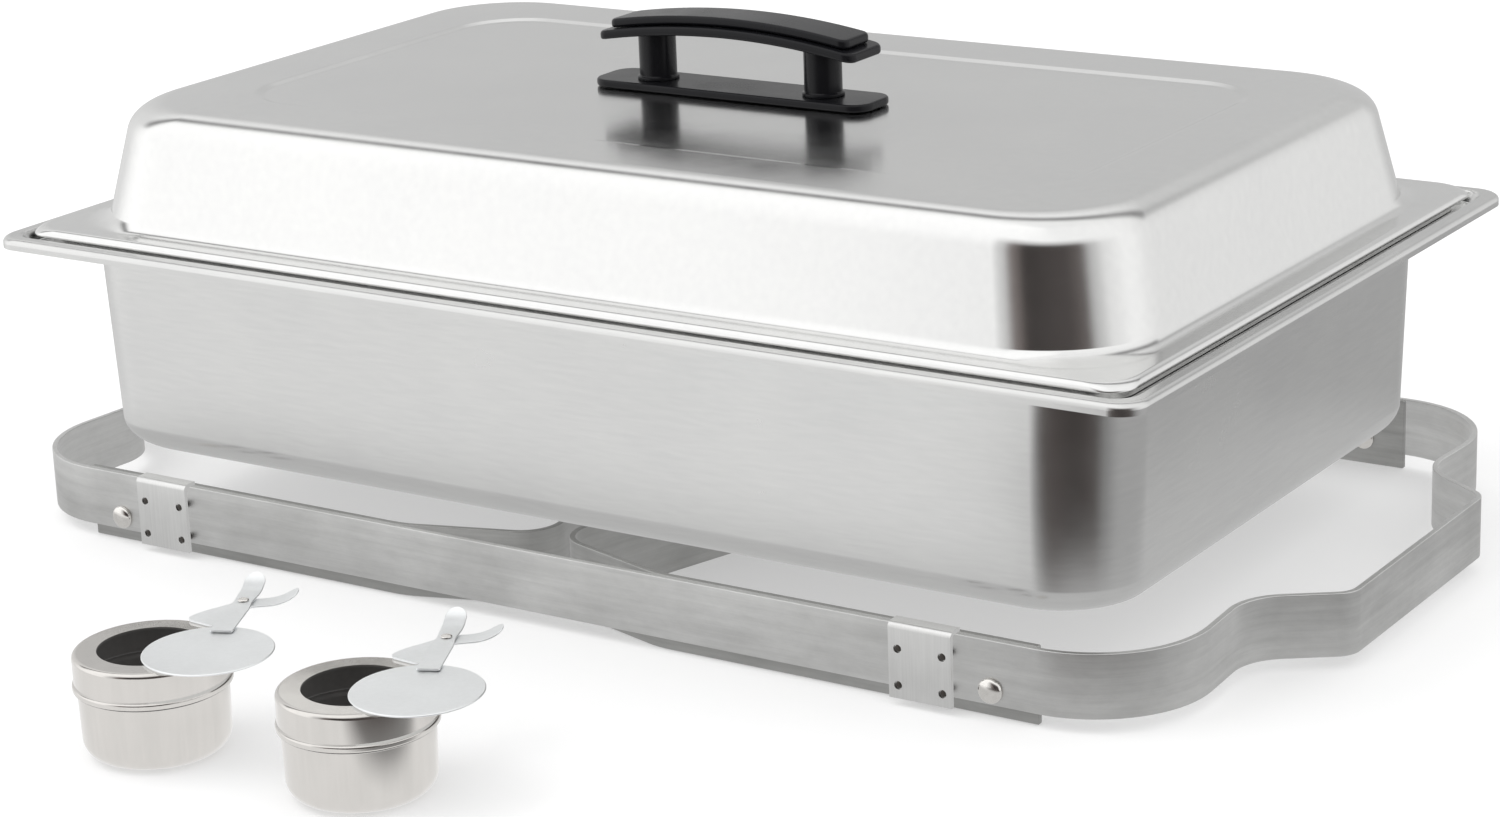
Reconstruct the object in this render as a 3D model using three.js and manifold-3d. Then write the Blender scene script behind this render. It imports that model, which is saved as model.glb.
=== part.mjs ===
// A full-size chafing dish whose folding steel band frame lies folded on the table: the water
// pan stands on the frame, the food pan hangs in the water pan, and a domed lid with a moulded
// handle covers both.  Two gel-fuel holders with swinging dampers stand in front.
// Millimetres, +Z up, +X along the dish to the right, the front faces -Y.  The origin is on the
// table, at the middle of the rectangle that the whole set covers.
import * as THREE from 'three';
import { mergeVertices } from 'three/addons/utils/BufferGeometryUtils.js';
import Module from 'manifold-3d';

const wasm = await Module();
wasm.setup();

// ---- Driving dimensions ----
const gap = 0.3;               // left between pieces that touch
const arcStep = Math.PI / 12;  // coarsest step along a rounded corner
const roundSides = 28;         // sides of the fuel holders' round pieces

// Folding frame
const bandThick = 2.5;
const legHeight = 31.5;
const ringHeight = 26;
const ringBottom = legHeight - ringHeight;
const ringHalfLength = 317;
const ringFace = 173.8;        // from the middle of the dish to the band's front or back face
const endRailX = 288;
const notch = { x: 283, y: 88.2, radius: 24 };
const bump = { y: 65.2, radius: 12 };
const ringCorner = 48;

// Legs, folded inside the ring
const legGap = 0.4;
const legLine = ringFace - 1.5 * bandThick - legGap;
const tailX = 237;
const armBendX = 64;
const foot = { x: 1.75, y: 151, radius: 16 };
const crossbar = { x: 32, y: 52, radius: 70 };

// Pivot rivets
const pivotX = 218;
const pivotZ = ringBottom + 5.9;
const pivotRadius = 3;
const pivotHead = { radius: 5, height: 2.4 };
const pivotTail = { radius: 4.4, height: 1.1 };

// Hook brackets that are riveted to the ring's long sides
const bracketX = 190;
const bracketWidth = 27.6;
const bracketThick = 1.6;
const bracketStandOff = 3;     // between the ring's face and the bracket's plate
const bracketBottom = 2.7;
const bracketTop = legHeight + gap + bracketThick;
const bracketBend = 1.6;
const studSpread = { x: 9.7, low: ringBottom + 2.6, high: ringBottom + 17.4 };
const studRadius = 1.4;

// Water pan: half length, half width and corner radius of its rim
const rim = { x: 280, y: 175.2, corner: 12 };
const rimBottom = 126.8;
const rimTop = 131.6;
const panBottom = legHeight + 0.9;
const panSheet = 1;
const bodyInset = 23.8;
const bodyCorner = 33;
const panDraft = 3;
const panFillet = 12;
const ledgeTop = 126.6;

// Food pan
const foodRim = { x: 265, y: 160.6, corner: 14 };
const foodSheet = 0.9;
const foodRimTop = 133.7;
const foodDepth = 65;
const foodInset = 17;
const foodCorner = 34;
const foodDraft = 5;
const foodFillet = 15;

// Lid
const flange = { x: 270, y: 165.5, corner: 12 };
const flangeTop = 135;
const flangeEdge = rimTop + gap;  // where the flange's turned-down edge ends
const lidSheet = 1;
const domeInset = 13.5;
const domeCorner = 46;
const domeTopCorner = 43;
const domeDraft = 11;
const domeTop = 185.6;
const domeFillet = 15;
const panelSink = 1.1;         // how far the panel in the lid's top is pressed down
const panelInset = 69;
const panelCorner = 28;

// Lid handle
const plate = { x: 70, y: 14, corner: 9, height: 3.5 };
const postX = 42.4;
const postRadius = 8.2;
const collar = { radius: 9.1, height: 1.3 };
const gripUnder = 211.5;       // underside of the grip at its crown
const gripBow = 6;             // how far the grip's ends come down
const tierHeight = 4;
const lowerTier = { x: 65, y: 14, corner: 5 };
const upperTier = { x: 60.5, y: 10.8, corner: 4 };
const screw = { radius: 1.9, headRadius: 4, headHeight: 2, bore: 2.2, depth: 12 };

// Fuel holders
const cap = { radius: 29.4, top: 40.6, skirt: 11, opening: 19.6, sheet: 0.8 };
const cup = { radius: 28.4, taper: 0.6, fillet: 7, neck: 8, neckDraw: 0.6, sheet: 0.8 };
const bead = { out: 1.7, height: 3.4, crest: 1.2 };  // the rolled bead below the cup's neck
const damperRadius = 24.8;
const damperPivot = 49.8;      // from the cap's axis to the damper's rivet
const damperDirection = 52.6;  // the rivet's direction from the cap's axis, in degrees
const damperOpen = 29;         // how far the damper is swung open, in degrees
const tab = { turn: -45, length: 20, width: 8.4, rise: 3.6, flat: 8.4, curl: 3.7 };
const armWidth = 9;
const armOverlap = 7;          // how far the damper's arm reaches over its disc
const armNarrow = 9;           // how far before the rivet the arm starts to narrow
const root = { length: 23.8, width: 13, shoulder: 20, shoulderWidth: 16 };
const damperRivet = { radius: 1.3, bore: 1.6, head: 2.2, headHeight: 0.8 };
const holderTurn = 33.7;       // how the holders are turned on the table, in degrees
const holderPlaces = [
  { side: 'left', x: -45, y: -344.5 },
  { side: 'right', x: 49, y: -339 },
];

// The set's reach from the middle of the dish, which puts the origin in the middle of the set.
const backReach = ringFace + bracketStandOff + bracketThick;
const frontReach = -holderPlaces[0].y + cup.radius + bead.out;
const dishY = (frontReach - backReach) / 2;

// ---- Materials ----
function steel(name, colour, roughness) {
  const material = new THREE.MeshStandardMaterial({ color: colour, roughness, metalness: 1 });
  material.name = name;
  return material;
}

const brushedBand = steel('brushed_band', 0x9a9a98, 0.42);
const satinClip = steel('satin_clip', 0xb9b9b7, 0.38);
const polishedRivet = steel('polished_rivet', 0xe6e2d8, 0.12);
const darkStud = steel('dark_stud', 0x2b2725, 0.5);
const satinPan = steel('satin_pan', 0xb4b4b2, 0.3);
const mirrorLid = steel('mirror_lid', 0xcfcfce, 0.16);
const polishedHolder = steel('polished_holder', 0xcbc8c4, 0.2);
const paleDamper = steel('pale_damper', 0xd9dcdc, 0.4);
const blackPlastic = new THREE.MeshStandardMaterial({ color: 0x121315, roughness: 0.38, metalness: 0 });
blackPlastic.name = 'black_plastic';

// ---- Outlines ----
// Points of an outline whose corners are [x, y, radius].
function roundCorners(corners, closed = true) {
  const count = corners.length;
  return corners.flatMap(([x, y, radius], i) => {
    const corner = new THREE.Vector2(x, y);
    const isEnd = !closed && (i === 0 || i === count - 1);
    if (!radius || isEnd) return [corner];
    const [beforeX, beforeY] = corners[(i + count - 1) % count];
    const [afterX, afterY] = corners[(i + 1) % count];
    const toBefore = new THREE.Vector2(beforeX, beforeY).sub(corner).normalize();
    const toAfter = new THREE.Vector2(afterX, afterY).sub(corner).normalize();
    const halfAngle = Math.acos(toBefore.dot(toAfter)) / 2;
    const start = corner.clone().addScaledVector(toBefore, radius / Math.tan(halfAngle));
    const end = corner.clone().addScaledVector(toAfter, radius / Math.tan(halfAngle));
    const middle = toBefore.clone().add(toAfter).normalize();
    const centre = corner.clone().addScaledVector(middle, radius / Math.sin(halfAngle));
    const from = Math.atan2(start.y - centre.y, start.x - centre.x);
    const to = Math.atan2(end.y - centre.y, end.x - centre.x);
    const sweep = Math.atan2(Math.sin(to - from), Math.cos(to - from));
    const steps = Math.max(2, Math.ceil(Math.abs(sweep) / arcStep));
    return Array.from({ length: steps + 1 }, (_, k) => {
      const angle = from + (sweep * k) / steps;
      const reach = new THREE.Vector2(Math.cos(angle), Math.sin(angle)).multiplyScalar(radius);
      return centre.clone().add(reach);
    });
  });
}

// The same path moved sideways: a positive distance moves it to its left.
function offsetPath(points, distance, closed) {
  const count = points.length;
  const leftOf = (a, b) => new THREE.Vector2(a.y - b.y, b.x - a.x).normalize();
  return points.map((point, i) => {
    const hasBefore = closed || i > 0;
    const hasAfter = closed || i < count - 1;
    const after = hasAfter ? leftOf(point, points[(i + 1) % count]) : null;
    const before = hasBefore ? leftOf(points[(i + count - 1) % count], point) : after;
    const mean = before.clone().add(after ?? before).normalize();
    return point.clone().addScaledVector(mean, distance / mean.dot(before));
  });
}

// A path in the middle of a sheet becomes the outline of the sheet.
function sheetOutline(path, thick) {
  const right = offsetPath(path, -thick / 2, false);
  const left = offsetPath(path, thick / 2, false);
  return right.concat(left.reverse());
}

function rectangle(half) {
  return roundCorners([
    [half.x, -half.y, half.corner],
    [half.x, half.y, half.corner],
    [-half.x, half.y, half.corner],
    [-half.x, -half.y, half.corner],
  ]);
}

// Quarter turn of a fillet in a section, from straight along to straight up (or back).
function quarter(x, z, radius, fromDegrees, toDegrees, steps = 3) {
  return Array.from({ length: steps + 1 }, (_, k) => {
    const angle = THREE.MathUtils.degToRad(fromDegrees + ((toDegrees - fromDegrees) * k) / steps);
    return new THREE.Vector2(x + radius * Math.cos(angle), z + radius * Math.sin(angle));
  });
}

// ---- Solids ----
function signedVolume(geometry) {
  const corners = geometry.index.array;
  const at = geometry.attributes.position;
  const [a, b, c] = [new THREE.Vector3(), new THREE.Vector3(), new THREE.Vector3()];
  let volume = 0;
  for (let i = 0; i < corners.length; i += 3) {
    a.fromBufferAttribute(at, corners[i]);
    b.fromBufferAttribute(at, corners[i + 1]);
    c.fromBufferAttribute(at, corners[i + 2]);
    volume += a.dot(b.cross(c)) / 6;
  }
  return volume;
}

function toSolid(geometry) {
  const bare = geometry.clone();
  bare.deleteAttribute('normal');
  bare.deleteAttribute('uv');
  const merged = mergeVertices(bare, 1e-4);
  const corners = Uint32Array.from(merged.index.array);
  if (signedVolume(merged) < 0) corners.reverse();
  const vertProperties = Float32Array.from(merged.attributes.position.array);
  return new wasm.Manifold(new wasm.Mesh({ numProp: 3, vertProperties, triVerts: corners }));
}

function toGeometry(solid) {
  const mesh = solid.getMesh();
  const geometry = new THREE.BufferGeometry();
  geometry.setAttribute('position', new THREE.BufferAttribute(mesh.vertProperties, 3));
  geometry.setIndex(new THREE.BufferAttribute(mesh.triVerts, 1));
  geometry.computeVertexNormals();
  return geometry;
}

function cut(solid, ...tools) {
  return tools.reduce((rest, tool) => rest.subtract(tool), solid);
}

function prism(outline, bottom, height, holes = []) {
  const shape = new THREE.Shape(outline);
  shape.holes = holes.map((hole) => new THREE.Path(hole));
  const geometry = new THREE.ExtrudeGeometry(shape, { depth: height, bevelEnabled: false });
  return toSolid(geometry.translate(0, 0, bottom));
}

// A section of [x, z] points pulled along Y, centred on Y = 0.
function alongY(section, width) {
  const geometry = new THREE.ExtrudeGeometry(new THREE.Shape(section), { depth: width, bevelEnabled: false });
  return toSolid(geometry.rotateX(Math.PI / 2).translate(0, width / 2, 0));
}

function turned(section, sides) {
  return toSolid(new THREE.LatheGeometry(section, sides).rotateX(Math.PI / 2));
}

function rod(radius, low, high, sides = 12) {
  const geometry = new THREE.CylinderGeometry(radius, radius, high - low, sides);
  return toSolid(geometry.rotateX(Math.PI / 2).translate(0, 0, (low + high) / 2));
}

// A rod from one Y to another.
function rodAlongY(radius, x, z, fromY, toY, sides = 12) {
  const geometry = new THREE.CylinderGeometry(radius, radius, Math.abs(toY - fromY), sides);
  return toSolid(geometry.translate(x, (fromY + toY) / 2, z));
}

// A domed or flat-headed rivet that points to -Y: its head's underside is at Y = 0.
function rivetAlongY(shank, length, head, tail) {
  const dome = quarter(0, length, head.radius, 0, 90, 3).map(
    (point) => new THREE.Vector2(point.x, length + ((point.y - length) * head.height) / head.radius));
  dome[dome.length - 1].x = 0;
  const section = [
    new THREE.Vector2(0, -tail.height),
    new THREE.Vector2(tail.radius, -tail.height),
    new THREE.Vector2(tail.radius, 0),
    new THREE.Vector2(shank, 0),
    new THREE.Vector2(shank, length),
    ...dome,
  ];
  return toSolid(new THREE.LatheGeometry(section, 16).translate(0, -length, 0).rotateX(Math.PI));
}

// A rounded rectangle pressed from sheet.  The path runs in the middle of the sheet, from near
// the middle of the piece out to its edge: x is the distance in from the rim, z the height, and
// corner the radius of the rounded rectangle there.
function pressed(half, path, thick) {
  const middle = path.map(({ inset, z }) => new THREE.Vector2(-inset, z));
  const loopAt = (point, i) => {
    const { inset, corner } = path[i];
    const spread = point.x + inset;
    return {
      x: half.x + point.x,
      y: half.y + point.x,
      corner: Math.max(corner + spread, 1),
      z: point.y,
    };
  };
  const under = offsetPath(middle, -thick / 2, false).map(loopAt);
  const over = offsetPath(middle, thick / 2, false).map(loopAt).reverse();
  return skin(under.concat(over));
}

// Closes a stack of rounded rectangles, each with a corner radius and a height, into one solid.
function skin(loops) {
  const perCorner = 5;
  const signs = [[1, -1], [1, 1], [-1, 1], [-1, -1]];
  const positions = [];
  for (const { x, y, corner, z } of loops) {
    signs.forEach(([signX, signY], quadrant) => {
      for (let k = 0; k < perCorner; k += 1) {
        const angle = ((quadrant - 1 + k / (perCorner - 1)) * Math.PI) / 2;
        positions.push(
          signX * (x - corner) + corner * Math.cos(angle),
          signY * (y - corner) + corner * Math.sin(angle),
          z);
      }
    });
  }
  const around = 4 * perCorner;
  const first = positions.length / 3;
  positions.push(0, 0, loops[0].z, 0, 0, loops[loops.length - 1].z);
  const faces = [];
  const lastLoop = (loops.length - 1) * around;
  for (let i = 0; i < around; i += 1) {
    const next = (i + 1) % around;
    faces.push(first, next, i, first + 1, lastLoop + i, lastLoop + next);
    for (let row = 0; row < lastLoop; row += around) {
      faces.push(row + i, row + next, row + around + next);
      faces.push(row + i, row + around + next, row + around + i);
    }
  }
  const geometry = new THREE.BufferGeometry();
  geometry.setAttribute('position', new THREE.Float32BufferAttribute(positions, 3));
  geometry.setIndex(faces);
  return toSolid(geometry);
}

// Adds a solid to the set as a named mesh.
function place(parent, name, solid, material) {
  const mesh = new THREE.Mesh(toGeometry(solid), material);
  mesh.name = name;
  parent.add(mesh);
  return mesh;
}

// ---- Folding frame ----
// Both signs of the dish's length and depth, with the words for them.
const sides = [
  { name: 'front_left', x: -1, y: -1 },
  { name: 'front_right', x: 1, y: -1 },
  { name: 'back_left', x: -1, y: 1 },
  { name: 'back_right', x: 1, y: 1 },
];

function studPlaces() {
  const heights = [studSpread.low, studSpread.high];
  return heights.flatMap((z) => [-1, 1].map((side) => ({ x: side * studSpread.x, z })));
}

function ringOutline() {
  const quadrant = [
    [endRailX, -ringFace, ringCorner],
    [notch.x, -notch.y, notch.radius],
    [ringHalfLength, -bump.y, bump.radius],
  ];
  const mirrored = (signX, signY) => quadrant.map(([x, y, radius]) => [signX * x, signY * y, radius]);
  return roundCorners([
    ...mirrored(1, 1),
    ...mirrored(1, -1).reverse(),
    ...mirrored(-1, -1),
    ...mirrored(-1, 1).reverse(),
  ]);
}

function frameRing() {
  const outline = ringOutline();
  const inner = offsetPath(outline, bandThick, true);
  const ring = prism(outline, ringBottom, ringHeight, [inner]);
  const through = (radius, x, z, facets) =>
    rodAlongY(radius, x, z, -ringFace - 1, ringFace + 1, facets);
  const pivotHoles = [-1, 1].map((side) => through(pivotRadius + gap, side * pivotX, pivotZ, 12));
  const studHoles = [-1, 1].flatMap((side) => studPlaces().map(
    (stud) => through(studRadius + gap, side * bracketX + stud.x, stud.z, 8)));
  return cut(ring, ...pivotHoles, ...studHoles);
}

function bracket(side) {
  const outer = ringFace + bracketStandOff + bracketThick / 2;
  const reach = ringFace - bandThick;
  const section = roundCorners([
    [outer, bracketBottom, 0],
    [outer, bracketTop - bracketThick / 2, bracketBend],
    [reach, bracketTop - bracketThick / 2, 0],
  ], false);
  const clip = toSolid(new THREE.ExtrudeGeometry(
    new THREE.Shape(sheetOutline(section, bracketThick)),
    { depth: bracketWidth, bevelEnabled: false },
  ).rotateX(Math.PI / 2).rotateZ(Math.PI / 2).translate(-bracketWidth / 2, 0, 0));
  const holes = studPlaces().map(
    (stud) => rodAlongY(studRadius + gap, stud.x, stud.z, ringFace, outer + bracketThick, 8));
  const placed = cut(clip, ...holes).rotate([0, 0, side.y > 0 ? 0 : 180]);
  return placed.translate([side.x * bracketX, 0, 0]);
}

function stud(side, place) {
  const outer = ringFace + bracketStandOff + bracketThick - 0.4;
  const inner = ringFace - bandThick;
  const x = side.x * bracketX + place.x;
  return rodAlongY(studRadius, x, place.z, side.y * inner, side.y * outer, 8);
}

function pivotRivet(side) {
  const length = 2 * bandThick + legGap + 2 * gap;
  const rivet = rivetAlongY(pivotRadius, length, pivotHead, pivotTail);
  const turn = side.y > 0 ? 180 : 0;
  return rivet.rotate([0, 0, turn]).translate([side.x * pivotX, side.y * (ringFace + gap), pivotZ]);
}

function leg(sign) {
  const half = [
    [tailX, -legLine, 0],
    [armBendX, -legLine, 40],
    [foot.x, -foot.y, foot.radius],
    [crossbar.x, -crossbar.y, crossbar.radius],
  ];
  const back = half.map(([x, y, radius]) => [x, -y, radius]).reverse();
  const outline = sheetOutline(roundCorners([...half, ...back], false), bandThick);
  const body = prism(outline, 0, legHeight);
  const hole = rodAlongY(pivotRadius + gap, pivotX, pivotZ, -ringFace, ringFace, 12);
  return cut(body, hole).rotate([0, 0, sign > 0 ? 0 : 180]);
}

// ---- Pans ----
// Bottom, wall and the start of the rim of a pan, as a path in the middle of its sheet.
function panWall({ bottom, wallTop, inset, draft, fillet, corner }) {
  const foot = { x: -(inset + draft + fillet), z: bottom + fillet };
  const bend = quarter(foot.x, foot.z, fillet, -90, 0).map((point) => ({
    inset: -point.x,
    z: point.y,
    corner: Math.max(corner - draft / 2 + point.x + inset + draft, 5),
  }));
  return [...bend, { inset, z: wallTop, corner }];
}

function waterPan() {
  const half = panSheet / 2;
  const ledge = ledgeTop - half;
  const lip = rimTop - half;
  const path = [
    ...panWall({
      bottom: panBottom + half,
      wallTop: ledge - 3,
      inset: bodyInset,
      draft: panDraft,
      fillet: panFillet,
      corner: bodyCorner,
    }),
    { inset: bodyInset - 0.9, z: ledge - 0.9, corner: bodyCorner - 1 },
    { inset: bodyInset - 3, z: ledge, corner: bodyCorner - 3 },
    { inset: 9, z: ledge, corner: 11 },
    { inset: 8.2, z: ledge + 0.8, corner: 10.5 },
    { inset: 6.8, z: lip - 0.7, corner: 10 },
    { inset: 5.8, z: lip, corner: 10 },
    { inset: 2.4, z: lip, corner: 10 },
    { inset: 1, z: lip - 0.6, corner: rim.corner - 1 },
    { inset: half, z: lip - 1.9, corner: rim.corner - half },
    { inset: half, z: rimBottom, corner: rim.corner - half },
  ];
  return pressed(rim, path, panSheet);
}

function foodPan() {
  const half = foodSheet / 2;
  const top = foodRimTop - half;
  const path = [
    ...panWall({
      bottom: foodRimTop - foodDepth,
      wallTop: top - 4,
      inset: foodInset,
      draft: foodDraft,
      fillet: foodFillet,
      corner: foodCorner,
    }),
    { inset: foodInset - 1.2, z: top - 1.2, corner: foodCorner - 1 },
    { inset: foodInset - 4, z: top, corner: foodCorner - 4 },
    { inset: 2.2, z: top, corner: foodRim.corner - 1 },
    { inset: 0.9, z: top - 0.7, corner: foodRim.corner - 0.9 },
    { inset: half, z: top - 1.8, corner: foodRim.corner - half },
    { inset: half, z: ledgeTop + gap, corner: foodRim.corner - half },
  ];
  return pressed(foodRim, path, foodSheet);
}

// ---- Lid ----
function lidShell() {
  const half = lidSheet / 2;
  const flat = flangeTop - half;
  const top = domeTop - half;
  const topInset = domeInset + domeDraft;
  const shoulder = quarter(-(topInset + domeFillet), top - domeFillet, domeFillet, 90, 0).map(
    (point) => ({ inset: -point.x, z: point.y, corner: domeTopCorner + point.x + topInset }));
  const path = [
    { inset: 140, z: top - panelSink, corner: 12 },
    { inset: panelInset + 2, z: top - panelSink, corner: panelCorner },
    { inset: panelInset, z: top - panelSink * 0.8, corner: panelCorner + 1 },
    { inset: panelInset - 4, z: top, corner: panelCorner + 5 },
    ...shoulder,
    { inset: domeInset + 0.8, z: flat + 4, corner: domeCorner },
    { inset: domeInset - 0.2, z: flat + 1.4, corner: domeCorner },
    { inset: domeInset - 2.6, z: flat + 0.2, corner: domeCorner - 4 },
    { inset: 4.2, z: flat, corner: flange.corner + 1 },
    { inset: 2, z: flat - 0.7, corner: flange.corner },
    { inset: 0.9, z: flat - 1.7, corner: flange.corner - 0.5 },
    { inset: half, z: flangeEdge, corner: flange.corner - half },
  ];
  const shell = pressed(flange, path, lidSheet);
  const holes = [-1, 1].map((side) =>
    rod(screw.bore, domeTop - 4, domeTop + 4).translate([side * postX, 0, 0]));
  return cut(shell, ...holes);
}

const plateBottom = domeTop - panelSink + gap;
const plateTop = plateBottom + plate.height;

function handlePlate() {
  const edge = 0.8;
  const inner = rectangle({ x: plate.x - edge, y: plate.y - edge, corner: plate.corner - edge });
  const geometry = new THREE.ExtrudeGeometry(new THREE.Shape(inner), {
    depth: plate.height - 2 * edge,
    bevelThickness: edge,
    bevelSize: edge,
    bevelSegments: 1,
  });
  const body = toSolid(geometry.translate(0, 0, plateBottom + edge));
  const holes = [-1, 1].map((side) =>
    rod(screw.bore, plateBottom - 1, plateTop + 1).translate([side * postX, 0, 0]));
  return cut(body, ...holes);
}

// Height of the bowed grip's underside at a distance along it.
function gripLine(x) {
  const bowRadius = (lowerTier.x ** 2 + gripBow ** 2) / (2 * gripBow);
  return gripUnder - bowRadius + Math.sqrt(bowRadius ** 2 - x ** 2);
}

// A bowed slab between two heights above the grip's underside.
function bowedSlab(half, low, high) {
  const steps = 12;
  const stations = Array.from({ length: steps + 1 }, (_, k) => -half.x + (2 * half.x * k) / steps);
  const under = stations.map((x) => new THREE.Vector2(x, gripLine(x) + low));
  const over = stations.map((x) => new THREE.Vector2(x, gripLine(x) + high)).reverse();
  const slab = alongY(under.concat(over), 2 * half.y);
  const outline = prism(rectangle(half), gripUnder - 2 * gripBow, 6 * gripBow);
  return slab.intersect(outline);
}

function handlePost(side) {
  const foot = plateTop + gap;
  const section = [
    new THREE.Vector2(0, foot),
    new THREE.Vector2(collar.radius, foot),
    new THREE.Vector2(collar.radius, foot + collar.height),
    new THREE.Vector2(postRadius, foot + collar.height + 0.6),
    new THREE.Vector2(postRadius, gripUnder + 2),
    new THREE.Vector2(0, gripUnder + 2),
  ];
  const post = turned(section, 20).translate([side * postX, 0, 0]);
  const above = bowedSlab({ x: lowerTier.x, y: 2 * lowerTier.y, corner: 1 }, -gap, 3 * tierHeight);
  const bore = rod(screw.bore, foot - 1, foot + screw.depth).translate([side * postX, 0, 0]);
  return cut(post, above, bore);
}

function handleScrew(side) {
  const seat = domeTop - panelSink - lidSheet - gap;
  const end = plateTop + gap + screw.depth - 1;
  const shank = rod(screw.radius, seat - 1, end);
  const head = rod(screw.headRadius, seat - screw.headHeight, seat, 12);
  return shank.add(head).translate([side * postX, 0, 0]);
}

// ---- Fuel holders ----
function fuelCup() {
  const wall = cup.radius - cup.sheet / 2;
  const low = cup.sheet / 2;
  const beadTop = cap.top - cap.skirt - gap;
  const beadMiddle = beadTop - bead.height / 2;
  const bottomWall = wall - cup.taper;
  const neckWall = wall - cup.neckDraw;
  const path = [
    new THREE.Vector2(0, low),
    ...quarter(bottomWall - cup.fillet, low + cup.fillet, cup.fillet, -90, 0),
    new THREE.Vector2(wall, beadMiddle - bead.height / 2),
    new THREE.Vector2(wall + bead.out, beadMiddle - bead.crest / 2),
    new THREE.Vector2(wall + bead.out, beadMiddle + bead.crest / 2),
    new THREE.Vector2(neckWall, beadTop - 0.4),
    new THREE.Vector2(neckWall, beadTop + cup.neck),
  ];
  const outline = sheetOutline(path, cup.sheet);
  outline[0].x = 0;
  outline[outline.length - 1].x = 0;
  return turned(outline, roundSides);
}

function fuelCap() {
  const half = cap.sheet / 2;
  const wall = cap.radius - half;
  const top = cap.top - half;
  const path = [
    new THREE.Vector2(cap.opening + half, top),
    new THREE.Vector2(wall - 1.2, top),
    new THREE.Vector2(wall - 0.3, top - 0.3),
    new THREE.Vector2(wall, top - 1.2),
    new THREE.Vector2(wall, cap.top - cap.skirt),
  ];
  const outline = sheetOutline(path, cap.sheet);
  return turned([...outline, outline[0]], roundSides);
}

const damperLow = cap.top + gap;
const armLow = damperLow + cap.sheet + gap;

// A finger tab that leaves the rivet along +X, lies flat at first and then curls up.
function fingerTab(low) {
  const path = [
    new THREE.Vector2(0, low),
    new THREE.Vector2(tab.flat, low),
    new THREE.Vector2(tab.flat + tab.curl, low + 0.1 * tab.rise),
    new THREE.Vector2(tab.flat + 2 * tab.curl, low + 0.35 * tab.rise),
    new THREE.Vector2(tab.length, low + tab.rise),
  ];
  const strip = alongY(sheetOutline(path, cap.sheet), tab.width);
  const half = tab.width / 2;
  const outline = roundCorners([
    [-1, -half, 0],
    [tab.length + 1, -half, half - 0.1],
    [tab.length + 1, half, half - 0.1],
    [-1, half, 0],
  ]);
  return strip.intersect(prism(outline, low - 2, tab.rise + 6)).translate([0, 0, cap.sheet / 2]);
}

// The cap's own arm: a wide root on the cap's rim, narrowing to the rivet, then a finger tab.
function capArm() {
  const outline = roundCorners([
    [-root.length, -root.width / 2, 2],
    [-root.shoulder, -root.shoulderWidth / 2, 4],
    [0, -tab.width / 2, 0],
    [3, 0, 2],
    [0, tab.width / 2, 0],
    [-root.shoulder, root.shoulderWidth / 2, 4],
    [-root.length, root.width / 2, 2],
  ]);
  const boss = rod(tab.width / 2, damperLow, damperLow + cap.sheet, 20);
  const body = prism(outline, damperLow, cap.sheet).add(boss);
  const finger = fingerTab(damperLow).rotate([0, 0, tab.turn]);
  const hole = rod(damperRivet.bore, damperLow - 1, damperLow + 3);
  return cut(body.add(finger), hole);
}

// The damper's arm: welded on the disc, over the rivet and out to its finger tab, along +X.
function damperArm() {
  const reach = damperPivot - damperRadius + armOverlap;
  const strap = roundCorners([
    [-reach, -armWidth / 2, 0.8],
    [-armNarrow, -armWidth / 2, 4],
    [1, -tab.width / 2, 0],
    [1, tab.width / 2, 0],
    [-armNarrow, armWidth / 2, 4],
    [-reach, armWidth / 2, 0.8],
  ]);
  const body = prism(strap, armLow, cap.sheet).add(fingerTab(armLow));
  return cut(body, rod(damperRivet.bore, armLow - 1, armLow + 3));
}

function damperPin() {
  const low = damperLow - gap;
  const high = armLow + cap.sheet + gap;
  const section = [
    new THREE.Vector2(0, low - damperRivet.headHeight),
    new THREE.Vector2(damperRivet.head, low - damperRivet.headHeight),
    new THREE.Vector2(damperRivet.head, low),
    new THREE.Vector2(damperRivet.radius, low),
    new THREE.Vector2(damperRivet.radius, high),
    new THREE.Vector2(damperRivet.head, high),
    new THREE.Vector2(damperRivet.head * 0.8, high + damperRivet.headHeight * 0.7),
    new THREE.Vector2(0, high + damperRivet.headHeight),
  ];
  return turned(section, 16);
}

function fuelHolder({ side, x, y }) {
  const holder = new THREE.Group();
  holder.position.set(x, y, 0);
  holder.rotation.z = THREE.MathUtils.degToRad(holderTurn);
  place(holder, `${side}_fuel_cup`, fuelCup(), polishedHolder);
  place(holder, `${side}_fuel_cap`, fuelCap(), polishedHolder);

  const outward = THREE.MathUtils.degToRad(damperDirection);
  const pivot = new THREE.Group();
  pivot.position.set(damperPivot * Math.cos(outward), damperPivot * Math.sin(outward), 0);
  pivot.rotation.z = outward;
  holder.add(pivot);
  place(pivot, `${side}_cap_arm`, capArm(), paleDamper);
  place(pivot, `${side}_damper_rivet`, damperPin(), polishedRivet);

  const damper = new THREE.Group();
  damper.rotation.z = THREE.MathUtils.degToRad(damperOpen);
  pivot.add(damper);
  const disc = rod(damperRadius, damperLow, damperLow + cap.sheet, roundSides);
  place(damper, `${side}_damper_disc`, disc.translate([-damperPivot, 0, 0]), paleDamper);
  place(damper, `${side}_damper_arm`, damperArm(), paleDamper);
  return holder;
}

// ---- The whole set ----
const set = new THREE.Group();
const dish = new THREE.Group();
dish.position.set(0, dishY, 0);
set.add(dish);

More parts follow.
